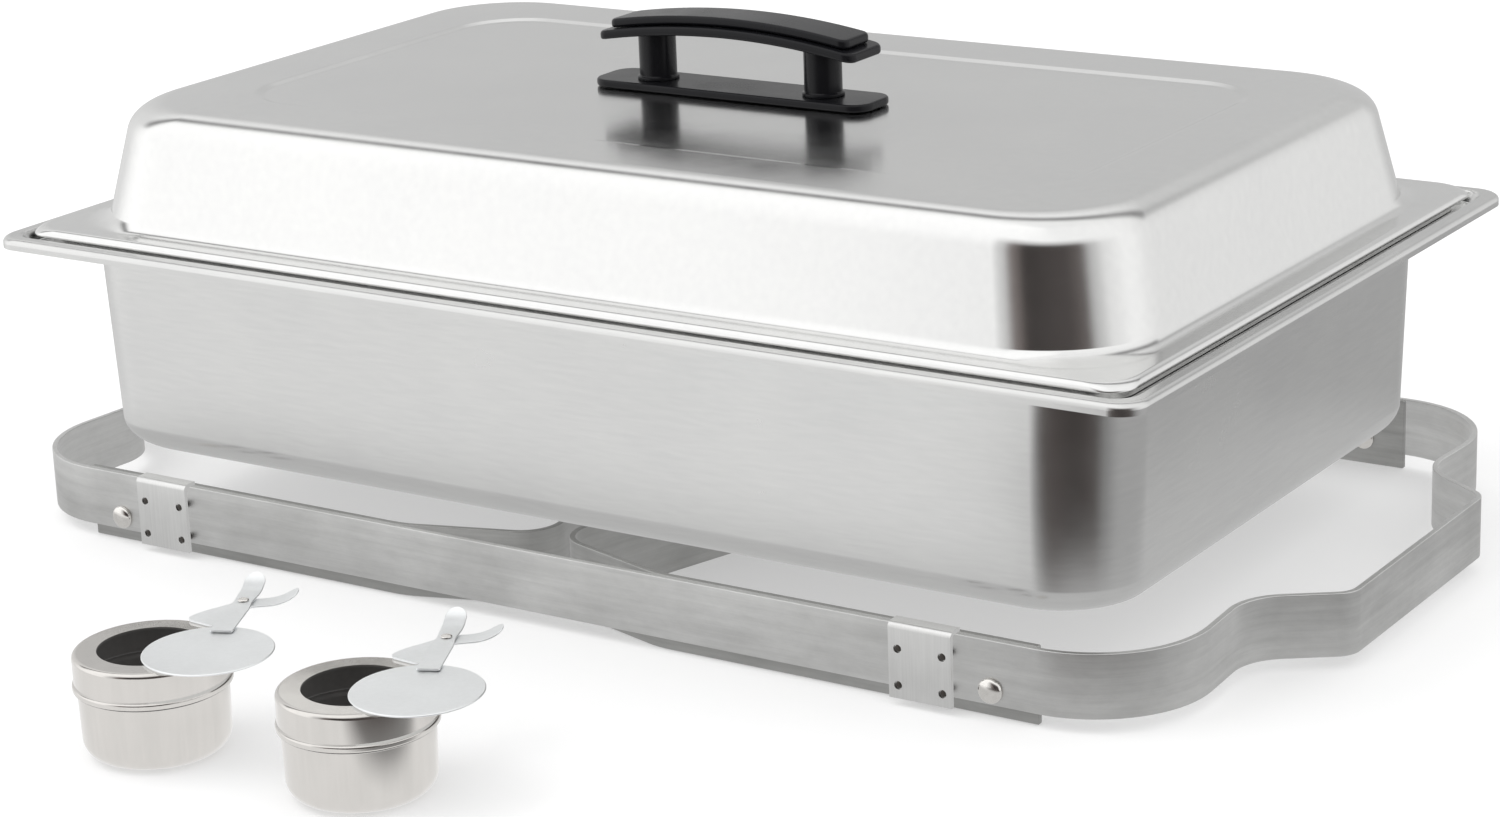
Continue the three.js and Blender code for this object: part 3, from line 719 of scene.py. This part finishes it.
def black_plastic():
    """Satin moulded plastic: a fine even texture with glossier and duller patches."""
    nodes = Nodes("black_plastic")
    shader = nodes.shader
    shader.inputs["IOR"].default_value = 1.5
    shader.inputs["Specular IOR Level"].default_value = 0.2
    patches = nodes.noise(35)
    texture = nodes.noise(2600, 2)
    colour = nodes.mixed(patches, (0.004, 0.004, 0.005), (0.011, 0.011, 0.013))
    nodes.link(colour, shader.inputs["Base Color"])
    gloss = nodes.ranged(patches, 0.18, 0.30, 0.3, 0.7)
    nodes.link(nodes.math("ADD", gloss, nodes.ranged(texture, -0.03, 0.03)), shader.inputs["Roughness"])
    nodes.link(nodes.bump(texture, 0.02, 0.6), shader.inputs["Normal"])
    return nodes.material


FINISHES = {
    finish.__name__: finish()
    for finish in (
        brushed_band, shaded_leg_band, satin_clip, polished_rivet, dark_stud, satin_pan,
        mirror_lid, polished_holder, pale_damper, black_plastic,
    )
}


# -------------------- folding frame
def frame_ring():
    low, high = extent("frame_ring")
    quadrant = [(END_RAIL_X, high.y, RING_CORNER), NOTCH, (high.x, *BUMP)]

    def mirrored(sign_x, sign_y):
        return [((sign_x * x, sign_y * y), radius) for x, y, radius in quadrant]

    corners = mirrored(1, -1) + mirrored(1, 1)[::-1] + mirrored(-1, 1) + mirrored(-1, -1)[::-1]
    outline = round_corners([c for c, _ in corners], [r for _, r in corners], True)
    track = moved_left(outline, BAND / 2, True)
    ring = swept_band("frame_ring_band", track, True, low.z, high.z)
    finished(ring, "frame", "frame_ring", "brushed_band")
    ring.visible_glossy = False


def leg(side, sign):
    low, high = extent(f"{side}_leg")
    line = high.y - BAND / 2
    tail = high.x if sign > 0 else -low.x
    half = [(tail, line, 0), (ARM_BEND[0], line, ARM_BEND[1]), FOOT, CROSSBAR]
    corners = [(x, -y, radius) for x, y, radius in half] + half[::-1]
    flat = [(sign * x, sign * y) for x, y, _ in corners]
    track = round_corners(flat, [radius for _, _, radius in corners], False)
    band = swept_band(f"{side}_shaded_leg_band", track, False, low.z, high.z)
    # the legs take a darker copy of the band's finish: painted shade
    finished(band, f"{side}_leg", f"{side}_leg", "brushed_band", "shaded_leg_band")
    band.visible_glossy = False


def stud_places():
    aside, lower, upper = STUD_SPREAD
    return [(side * aside, z) for z in (lower, upper) for side in (-1, 1)]


def bracket(name, sign_x, sign_y):
    """A clip riveted to the band's outside and folded over its top, with four holes."""
    low, high = extent(f"{name}_bracket")
    face = RING_FACE + BRACKET_STAND_OFF + BRACKET_THICK / 2
    fold = high.z - BRACKET_THICK / 2
    path = [(face, low.z), (face, fold), (RING_FACE - BAND, fold)]
    section = sheet_outline(round_corners(path, (0, BRACKET_BEND, 0), False, 15), BRACKET_THICK)
    loops = [[(x, sign_y * p.x, p.y) for p in section] for x in (low.x, high.x)]
    clip = new_object(f"{name}_clip", *bridge(loops))
    near, far = DRILL
    drill = [(0, near), (STUD_HOLE, near), (STUD_HOLE, far), (0, far)]
    for x, z in stud_places():
        centre = (sign_x * BRACKET_X + x, sign_y * RING_FACE, z)
        cut_away(clip, lathe("drill", drill, centre, 24, sign_y))
    broken_edges(clip, CUT_EDGE)
    finished(clip, "frame", f"{name}_bracket", "satin_clip")
    clip.visible_glossy = False


def stud(name, index, sign_x, sign_y, x, z):
    top = BRACKET_STAND_OFF + BRACKET_THICK - STUD_SUNK
    profile = [(0, -BAND), (STUD_RADIUS, -BAND)] + dome(STUD_RADIUS, top - STUD_CROWN, top, 5)
    centre = (sign_x * BRACKET_X + x, sign_y * RING_FACE, z)
    pin = lathe(f"{name}_stud_pin_{index}", profile, centre, 20, sign_y)
    finished(pin, "frame", f"{name}_stud_{index}", "dark_stud")


def pivot_rivet(name, sign_x, sign_y):
    grip = 2 * BAND + LEG_GAP + 2 * GAP
    head, head_height = PIVOT_HEAD
    tail, tail_height = PIVOT_TAIL
    upright, broken = PIVOT_EDGE
    end = -grip - tail_height
    profile = [(0, end), (tail - broken, end), (tail, end + broken), (tail, -grip)]
    profile += [(PIVOT_SHANK, -grip), (PIVOT_SHANK, 0), (head, 0)]
    profile += dome(head, upright, head_height, 10)
    centre = (sign_x * PIVOT[0], sign_y * (RING_FACE + GAP), PIVOT[1])
    rivet = lathe(f"{name}_pivot", profile, centre, 48, sign_y)
    finished(rivet, "frame", f"{name}_pivot_rivet", "polished_rivet")


def folding_frame():
    frame_ring()
    leg("left", -1)
    leg("right", 1)
    for name, sign_x, sign_y in SIDES:
        bracket(name, sign_x, sign_y)
        pivot_rivet(name, sign_x, sign_y)
        for index, (x, z) in enumerate(stud_places(), 1):
            stud(name, index, sign_x, sign_y, x, z)


# -------------------- pans and lid
def pan(node, sheet, rim, inset, draft, bottom_fillet, wall_corner, ledge):
    """A pan in the place of its node: rim holds the corners from the ledge outwards, each as
    (inset, height, corner radius, fillet)."""
    low, high = extent(node)
    bottom = low.z + sheet / 2
    foot = inset + draft
    corners = [
        (foot + bottom_fillet + PAN_MIDDLE, bottom, wall_corner, 0),
        (foot, bottom, wall_corner - draft / 2, bottom_fillet),
        (inset, ledge, wall_corner, WALL_FILLET),
        *rim,
    ]
    shell = pressed(f"{node}_shell", (high.x, high.y), rounded_path(corners), sheet)
    finished(shell, node, node, "satin_pan")


def rounded_path(corners):
    """The middle of a pressed sheet, with its corners (inset, height, corner radius, fillet)
    rounded."""
    path = [(-inset, z, corner) for inset, z, corner, _ in corners]
    rounded = round_corners(path, [fillet_radius for *_, fillet_radius in corners], False, 6)
    return [(-x, z, corner) for x, z, corner in rounded]


def water_pan():
    half = PAN_SHEET / 2
    top = extent("water_pan")[1].z - half
    foot_inset, foot_corner = STEP_FOOT
    top_inset, top_corner = STEP_TOP
    rim = [
        (foot_inset, LEDGE, foot_corner, STEP_FILLET),
        (top_inset, top, top_corner, STEP_FILLET),
        (half, top, PAN_CORNER - half, RIM_FILLET),
        (half, RIM_BOTTOM, PAN_CORNER - half, 0),
    ]
    pan("water_pan", PAN_SHEET, rim, BODY_INSET, PAN_DRAFT, PAN_FILLET, BODY_CORNER, LEDGE)


def food_pan():
    half = FOOD_SHEET / 2
    top = extent("food_pan")[1].z - half
    rim = [
        (half, top, FOOD_CORNER - half, RIM_FILLET),
        (half, LEDGE + PAN_SHEET / 2 + GAP, FOOD_CORNER - half, 0),
    ]
    pan("food_pan", FOOD_SHEET, rim, FOOD_INSET, FOOD_DRAFT, FOOD_FILLET, FOOD_WALL_CORNER, top)


def lid():
    low, high = extent("lid_shell")
    half = LID_SHEET / 2
    flat = FLANGE_TOP - half
    top = high.z - half
    panel = top - PANEL_SINK
    foot = DOME_INSET + DOME_DRAFT
    slope, larger = PANEL_SLOPE
    middle, middle_corner = PANEL_MIDDLE
    corners = [
        (PANEL_INSET + middle, panel, middle_corner, 0),
        (PANEL_INSET, panel, PANEL_CORNER, PANEL_FILLET),
        (PANEL_INSET - slope, top, PANEL_CORNER + larger, PANEL_FILLET),
        (foot, top, DOME_TOP_CORNER, DOME_FILLET),
        (DOME_INSET, flat, DOME_CORNER, DOME_FOOT),
        (half, flat, FLANGE_CORNER - half, FLANGE_FILLET),
        (half, low.z, FLANGE_CORNER - half, 0),
    ]
    shell = pressed("lid_dome", (high.x, high.y), rounded_path(corners), LID_SHEET, 20)
    finished(shell, "lid", "lid_shell", "mirror_lid")


def half_rectangle(x, y, corner):
    """The +Y half of a rounded rectangle, from +X to -X, with points along its long side."""
    along = 30
    right = arc(x - corner, y - corner, corner, 0, 90, 10)
    left = [(-px, py) for px, py in reversed(right)]
    straight = [((x - corner) * (1 - 2 * k / along), y) for k in range(1, along)]
    return [(x, 0), *right, *straight, *left, (-x, 0)]


def grip_lift(x):
    """Height of the bowed grip from its crown, 0 or less, at a distance along it."""
    reach = extent("handle_lower_grip")[1].x
    bow_radius = (reach ** 2 + GRIP_BOW ** 2) / (2 * GRIP_BOW)
    return math.sqrt(bow_radius ** 2 - x ** 2) - bow_radius


def handle():
    low, high = extent("handle_plate")
    base = plate("handle_base", half_rectangle(high.x, high.y, PLATE_CORNER), low.z, high.z, PLATE_EDGE)
    finished(base, "lid", "handle_plate", "black_plastic")

    for tier, corner, level in (("lower", LOWER_CORNER, 0), ("upper", UPPER_CORNER, 1)):
        reach = extent(f"handle_{tier}_grip")[1]
        outline = half_rectangle(reach.x, reach.y, corner)
        low = GRIP_UNDER + level * (TIER_HEIGHT + GAP)
        grip = plate(f"handle_{tier}_tier", outline, low, low + TIER_HEIGHT, TIER_EDGE, grip_lift)
        finished(grip, "lid", f"handle_{tier}_grip", "black_plastic")

    for side, sign in (("left", -1), ("right", 1)):
        post(side, sign)
        screw(side, sign)


def post(side, sign):
    """A round post of the handle, with a collar round its foot."""
    collar, rise = COLLAR
    wider, slope = COLLAR_STEP
    foot = extent(f"{side}_handle_post")[0].z
    shoulder = foot + rise
    top = GRIP_UNDER + grip_lift(POST_X) + POST_TOP
    profile = [(0, foot), (collar, foot)]
    profile += arc(collar - COLLAR_EDGE, shoulder - COLLAR_EDGE, COLLAR_EDGE, 0, 90, 4)
    profile += [(POST_RADIUS + wider, shoulder), (POST_RADIUS, shoulder + slope)]
    profile += [(POST_RADIUS, top), (0, top)]
    column = lathe(f"{side}_post", profile, (sign * POST_X, 0, 0), 72)
    finished(column, "lid", f"{side}_handle_post", "black_plastic")


def screw(side, sign):
    """A pan-headed screw under the lid, driven up into the post."""
    low, high = extent(f"{side}_handle_screw")
    head, head_height, shank = SCREW
    inwards, upwards = SCREW_ROUNDING
    seat = low.z + head_height
    rounding = [(inwards * (1 - s), upwards * (1 - c)) for c, s in arc(0, 0, 1, 0, 90, 6)]
    profile = [(0, low.z)] + [(head - inset, low.z + up) for inset, up in rounding]
    profile += [(head, seat), (shank, seat), (shank, high.z), (0, high.z)]
    pin = lathe(f"{side}_screw", profile, (sign * POST_X, 0, 0), 40)
    finished(pin, "lid", f"{side}_handle_screw", "satin_clip")


# -------------------- fuel holders
def holder_axis(side):
    low, high = extent(f"{side}_fuel_cup")
    return Vector(((low.x + high.x) / 2, (low.y + high.y) / 2, 0))


def mark_inside(obj, axis):
    """Marks the faces that look into the holder and the faces that look down under it, which its material
    paints near-black as painted shade.
    """
    inside = obj.data.attributes.new("inside", "FLOAT", "FACE")
    middle = (DISH + axis * TO_METRES).xy
    for face, mark in zip(obj.data.polygons, inside.data):
        outward = face.normal.xy.dot((face.center.xy - middle).normalized())
        height = (face.center.z - DISH.z) / TO_METRES
        floor = face.normal.z > LEVEL and height < CUP_FILLET
        under = face.normal.z < -LEVEL and height > CUP_FILLET
        mark.value = float(outward < INWARD or floor or under)


def fuel_cup(side):
    half = HOLDER_SHEET / 2
    top = extent(f"{side}_fuel_cup")[1].z
    wall = CUP_RADIUS - half
    bead_top = extent(f"{side}_fuel_cap")[0].z - GAP
    out, height = CUP_BEAD
    crest = BEAD_CREST * height
    below, on_bead = BEAD_FILLETS
    neck_inset, neck_foot = CUP_NECK
    neck = wall - neck_inset
    corners = [
        (0, half, 0),
        (wall - CUP_TAPER, half, CUP_FILLET),
        (wall, bead_top - height, below),
        (wall + out, bead_top - height + crest, on_bead),
        (wall + out, bead_top - crest, on_bead),
        (neck, bead_top - neck_foot, on_bead),
        (neck, top, 0),
    ]
    path = round_corners([c[:2] for c in corners], [c[2] for c in corners], False, 8)
    profile = [tuple(p) for p in sheet_outline(path, HOLDER_SHEET)]
    profile[0] = (0, profile[0][1])
    profile[-1] = (0, profile[-1][1])
    cup = lathe(f"{side}_cup", profile, holder_axis(side), 120)
    mark_inside(cup, holder_axis(side))
    finished(cup, f"{side}_cup", f"{side}_fuel_cup", "polished_holder")
    cup.visible_glossy = False


def fuel_cap(side):
    half = HOLDER_SHEET / 2
    low, high = extent(f"{side}_fuel_cap")
    wall = CAP_RADIUS - half
    top = high.z - half
    corners = [(CAP_OPENING + half, top), (wall, top), (wall, low.z)]
    path = round_corners(corners, (0, CAP_FILLET, 0), False, 8)
    profile = [tuple(p) for p in sheet_outline(path, HOLDER_SHEET)]
    cap = lathe(f"{side}_cap_shell", profile, holder_axis(side), 120)
    mark_inside(cap, holder_axis(side))
    finished(cap, f"{side}_cap", f"{side}_fuel_cap", "polished_holder")
    cap.visible_glossy = False


def spread(start, end, round_start, round_end):
    """Distances along a strip, closer together where its ends are rounded."""
    quarter_turn = [1 - math.cos(math.radians(a)) for a in range(4, 90, 8)]
    first = [start + round_start * q for q in quarter_turn]
    last = [end - round_end * q for q in reversed(quarter_turn)]
    count = max(2, math.ceil((last[0] - first[-1]) / STRIP_STEP))
    middle = [first[-1] + (last[0] - first[-1]) * k / count for k in range(1, count)]
    return first + middle + last


def rounded_off(distance, radius):
    """How much narrower a strip is, this far from its rounded end."""
    inside = max(radius - distance, 0)
    return radius - math.sqrt(radius ** 2 - inside ** 2)


def smooth_step(share):
    return share * share * (3 - 2 * share)


def tab_lift(along):
    length, _, rise, flat = TAB
    share = max(along - flat, 0) / (length - flat)
    return rise * share ** 2.2


def tab_half_width(along):
    return TAB[1] / 2 - rounded_off(TAB_END - along, TAB_ROUNDING)


def sheet_arm(name, stations, low, placed):
    """A flat arm with a raised tab, moved by a matrix.  Its stations are (distance along it
    from the rivet, x, y, direction, half width)."""
    loops = []
    for along, x, y, direction, half_width in stations:
        aside = Vector((-math.sin(direction), math.cos(direction), 0))
        z = low + HOLDER_SHEET / 2 + tab_lift(along)
        width = 2 * max(half_width, STRIP_LEAST)
        section = rounded_section(width, HOLDER_SHEET, STRIP_EDGE)
        loops.append([placed @ (Vector((x, y, z + up)) + aside * across) for across, up in section])
    return new_object(name, *bridge(loops))


def cap_arm(side, placed, low):
    """The cap's own arm: a wide root on the cap's rim that narrows to the rivet, turns there
    and ends in a raised finger tab."""
    length, end_width, shoulder_width, neck_length = ROOT
    neck = TAB[1] / 2
    stations = []
    x = before = -length
    y = 0
    for along in spread(-length, TAB_END, ROOT_ROUNDING, neck):
        direction = TAB_TURN * min(max((along + ROOT_BEND) / (2 * ROOT_BEND), 0), 1)
        x += (along - before) * math.cos(direction)
        y += (along - before) * math.sin(direction)
        before = along
        share = min(max((along + neck_length) / neck_length, 0), 1)
        flare = min((along + length) / ROOT_FLARE, 1)
        root = end_width / 2 + (shoulder_width - end_width) / 2 * math.sin(flare * math.pi / 2)
        width = root + (neck - root) * smooth_step(share)
        width -= rounded_off(along + length, ROOT_ROUNDING)
        if along > 0:
            width = tab_half_width(along)
        stations.append((along, x, y, direction, width))
    arm = sheet_arm(f"{side}_cap_tab", stations, low, placed)
    finished(arm, f"{side}_cap", f"{side}_cap_arm", "pale_damper")


def damper_arm(side, placed, low):
    """The damper's arm: on the disc, over the rivet and out to its raised finger tab."""
    stations = []
    for along in spread(-ARM_REACH, TAB_END, ARM_ROUNDING, TAB[1] / 2):
        narrowed = smooth_step(min(max(1 + along / ARM_NARROW, 0), 1))
        width = (ARM_WIDTH + (ARM_WAIST - ARM_WIDTH) * narrowed) / 2
        width -= rounded_off(along + ARM_REACH, ARM_ROUNDING)
        if along > 0:
            width = tab_half_width(along)
            width -= (TAB[1] - ARM_WAIST) / 2 * (1 - smooth_step(min(along / ARM_NARROW, 1)))
        stations.append((along, along, 0, 0, width))
    arm = sheet_arm(f"{side}_damper_tab", stations, low, placed)
    finished(arm, f"{side}_damper", f"{side}_damper_arm", "pale_damper")


def damper_disc(side, placed, low, high):
    inner = DAMPER_RADIUS - DAMPER_EDGE
    profile = [(0, low), (inner, low), (DAMPER_RADIUS, low + DAMPER_EDGE)]
    profile += [(DAMPER_RADIUS, high - DAMPER_EDGE), (inner, high), (0, high)]
    centre = placed @ Vector((-DAMPER_PIVOT, 0, 0))
    disc = lathe(f"{side}_damper_plate", profile, centre, 120)
    finished(disc, f"{side}_damper", f"{side}_damper_disc", "pale_damper")


def damper_rivet(side, placed):
    low, high = extent(f"{side}_damper_rivet")
    shank, head, rise = DAMPER_RIVET
    profile = [(0, low.z), (head - DAMPER_EDGE, low.z), (head, low.z + DAMPER_EDGE)]
    profile += [(head, low.z + rise), (shank, low.z + rise), (shank, high.z - rise)]
    profile += dome(head, high.z - rise, high.z, 8)
    rivet = lathe(f"{side}_damper_pin", profile, placed @ Vector(), 40)
    finished(rivet, f"{side}_cap", f"{side}_damper_rivet", "polished_rivet")


def fuel_holder(side):
    axis = holder_axis(side)
    holder = Matrix.Translation(axis) @ Matrix.Rotation(HOLDER_TURN + DAMPER_DIRECTION, 4, "Z")
    pivot = holder @ Matrix.Translation((DAMPER_PIVOT, 0, 0))
    swung = pivot @ Matrix.Rotation(DAMPER_OPEN, 4, "Z")
    disc_low, disc_high = extent(f"{side}_damper_disc")
    fuel_cup(side)
    fuel_cap(side)
    cap_arm(side, pivot, disc_low.z)
    damper_rivet(side, pivot)
    damper_disc(side, swung, disc_low.z, disc_high.z)
    damper_arm(side, swung, disc_high.z + GAP)


# -------------------- stage, light and camera
def stage_plane(name, half_x, half_y, z, material):
    """A level plane around the origin that isn't part of the object."""
    corners = [(-half_x, -half_y), (half_x, -half_y), (half_x, half_y), (-half_x, half_y)]
    mesh = bpy.data.meshes.new(name)
    mesh.from_pydata([(x, y, z) for x, y in corners], [], [(0, 1, 2, 3)])
    mesh.materials.append(material)
    plane = linked(name, mesh)
    return plane


def studio_floor():
    nodes = Nodes("studio_paper")
    inputs = nodes.shader.inputs
    nodes.link(nodes.mixed(nodes.noise(3, 2), (0.60,) * 3, (0.63,) * 3), inputs["Base Color"])
    inputs["Roughness"].default_value = 0.9
    inputs["Emission Color"].default_value = (*WHITE, 1)
    inputs["Emission Strength"].default_value = FLOOR_GLOW
    inputs["Specular IOR Level"].default_value = 0.1
    floor = stage_plane("studio_floor", FLOOR_HALF, FLOOR_HALF, FLOOR_Z, nodes.material)
    floor.visible_glossy = False


def sector_ramp(nodes, azimuth, stops):
    """Brightness around the horizon from stops of (azimuth in degrees, brightness).  Azimuth 0
    is towards -Y, 90 towards +X, and the stops run from -180 to 180."""
    ramp = nodes.new("ShaderNodeValToRGB")
    ramp.color_ramp.interpolation = "EASE"
    elements = ramp.color_ramp.elements
    for index, (turn, brightness) in enumerate(stops):
        place = turn / 360 + 0.5
        element = elements[index] if index < 2 else elements.new(place)
        element.position = place
        tint = WARM if brightness < DIM else WHITE
        element.color = (*(brightness * t for t in tint), 1)
    nodes.link(nodes.ranged(azimuth, 0, 1, -math.pi, math.pi), ramp.inputs["Fac"])
    return ramp.outputs["Color"]


def studio_world():
    """An even white room.  Metal sees instead a room with a bright front, a dark side towards
    the camera, a soft grey back and a dark beam overhead."""
    world = bpy.data.worlds.new("studio")
    bpy.context.scene.world = world
    nodes = Nodes.for_world(world)
    background = nodes.tree.nodes["Background"]
    way = nodes.new("ShaderNodeSeparateXYZ")
    nodes.link(nodes.place, way.inputs["Vector"])
    x, y, up = (way.outputs[axis] for axis in "XYZ")
    azimuth = nodes.math("ARCTAN2", x, nodes.math("MULTIPLY", y, -1))
    horizon = sector_ramp(nodes, azimuth, HORIZON)
    sky = sector_ramp(nodes, azimuth, SKY)
    walls = nodes.mixed(nodes.ranged(up, 0, 1, *SKY_LINE), horizon, sky)

    turn = math.radians(BEAM_AZIMUTH)
    over = nodes.math("ADD", nodes.math("MULTIPLY", x, math.sin(turn)),
                      nodes.math("MULTIPLY", y, -math.cos(turn)))
    aside = nodes.math("ABSOLUTE", nodes.math("SUBTRACT", over, BEAM_PLACE))
    beam = nodes.math("MULTIPLY", nodes.ranged(aside, 1, 0, *BEAM_HALF_WIDTHS),
                      nodes.ranged(up, 0, 1, *BEAM_FOOT))
    room = nodes.mixed(beam, walls, (BEAM_BRIGHTNESS,) * 3)

    by_metal = nodes.new("ShaderNodeLightPath").outputs["Is Glossy Ray"]
    nodes.link(nodes.mixed(by_metal, WHITE, room), background.inputs["Color"])
    nodes.link(nodes.ranged(by_metal, ROOM_LIGHT, 1), background.inputs["Strength"])


def glowing_reflection_card():
    """A glowing card that only the metal sees, painting reflections on it: bright in front, dark towards
    the camera, and an even grey close to the pan."""
    nodes = Nodes("painted_reflection_card")
    place = nodes.new("ShaderNodeSeparateXYZ")
    nodes.link(nodes.place, place.inputs["Vector"])
    across, deep = CARD_CENTRE
    right = nodes.math("SUBTRACT", place.outputs["X"], DISH.x)
    forward = nodes.math("SUBTRACT", DISH.y, place.outputs["Y"])
    past_front = nodes.math("SUBTRACT", forward, deep)
    azimuth = nodes.math("ARCTAN2", nodes.math("SUBTRACT", right, across), past_front)
    sectors = sector_ramp(nodes, azimuth, CARD)

    brightness, full, end = CARD_FRONT
    in_front = nodes.math("MULTIPLY", nodes.ranged(right, 1, 0, full, end),
                          nodes.ranged(past_front, 0, 1, 0, CARD_FRONT_EDGE))
    far = nodes.mixed(in_front, sectors, (brightness,) * 3)

    brightness, full, end = CARD_NEAR
    squares = []
    for way, half in ((right, across), (forward, deep)):
        outside = nodes.math("SUBTRACT", nodes.math("ABSOLUTE", way), half)
        squares.append(nodes.math("POWER", nodes.math("MAXIMUM", outside, 0), 2))
    from_pan = nodes.math("SQRT", nodes.math("ADD", *squares))
    tone = nodes.mixed(nodes.ranged(from_pan, 0, 1, full, end), (brightness,) * 3, far)
    # the card glows with these tones, as painted reflections on the metal
    glow = nodes.new("ShaderNodeEmission")
    nodes.link(tone, glow.inputs["Color"])
    nodes.link(glow.outputs["Emission"], nodes.tree.nodes["Material Output"].inputs["Surface"])

    card = stage_plane("painted_reflection_card", *CARD_SIZE, CARD_Z, nodes.material)
    card.visible_camera = False
    card.visible_diffuse = False
    card.visible_shadow = False
    card.visible_transmission = False


def soft_light(name, place, aim, size, power):
    light = bpy.data.lights.new(name, "AREA")
    light.shape = "RECTANGLE"
    light.size, light.size_y = size
    light.energy = power
    obj = linked(name, light)
    obj.visible_glossy = False
    obj.location = place
    obj.rotation_euler = (Vector(aim) - Vector(place)).to_track_quat("-Z", "Y").to_euler()


def studio_camera():
    azimuth, elevation, roll = (math.radians(angle) for angle in CAMERA_ANGLES)
    target = DISH + Vector(CAMERA_TARGET)
    level = Vector((math.sin(azimuth), -math.cos(azimuth), 0))
    back = level * math.cos(elevation) + Vector((0, 0, math.sin(elevation)))
    right = (-back).cross(Vector((0, 0, 1))).normalized()
    up = right.cross(-back)
    across = right * math.cos(roll) + up * math.sin(roll)
    upward = up * math.cos(roll) - right * math.sin(roll)
    camera = bpy.data.cameras.new("camera")
    camera.lens = CAMERA_LENS
    obj = linked("camera", camera)
    turned = Matrix((across, upward, back)).transposed()
    obj.matrix_world = Matrix.Translation(target + back * CAMERA_DISTANCE) @ turned.to_4x4()
    bpy.context.scene.camera = obj


folding_frame()
water_pan()
food_pan()
lid()
handle()
fuel_holder("left")
fuel_holder("right")
studio_floor()
studio_world()
glowing_reflection_card()
soft_light("key", place=(-1.2, -1.0, 2.2), aim=(0, 0, 0.1), size=(1.6, 1.6), power=14)
studio_camera()
bpy.context.scene.view_settings.view_transform = "Standard"
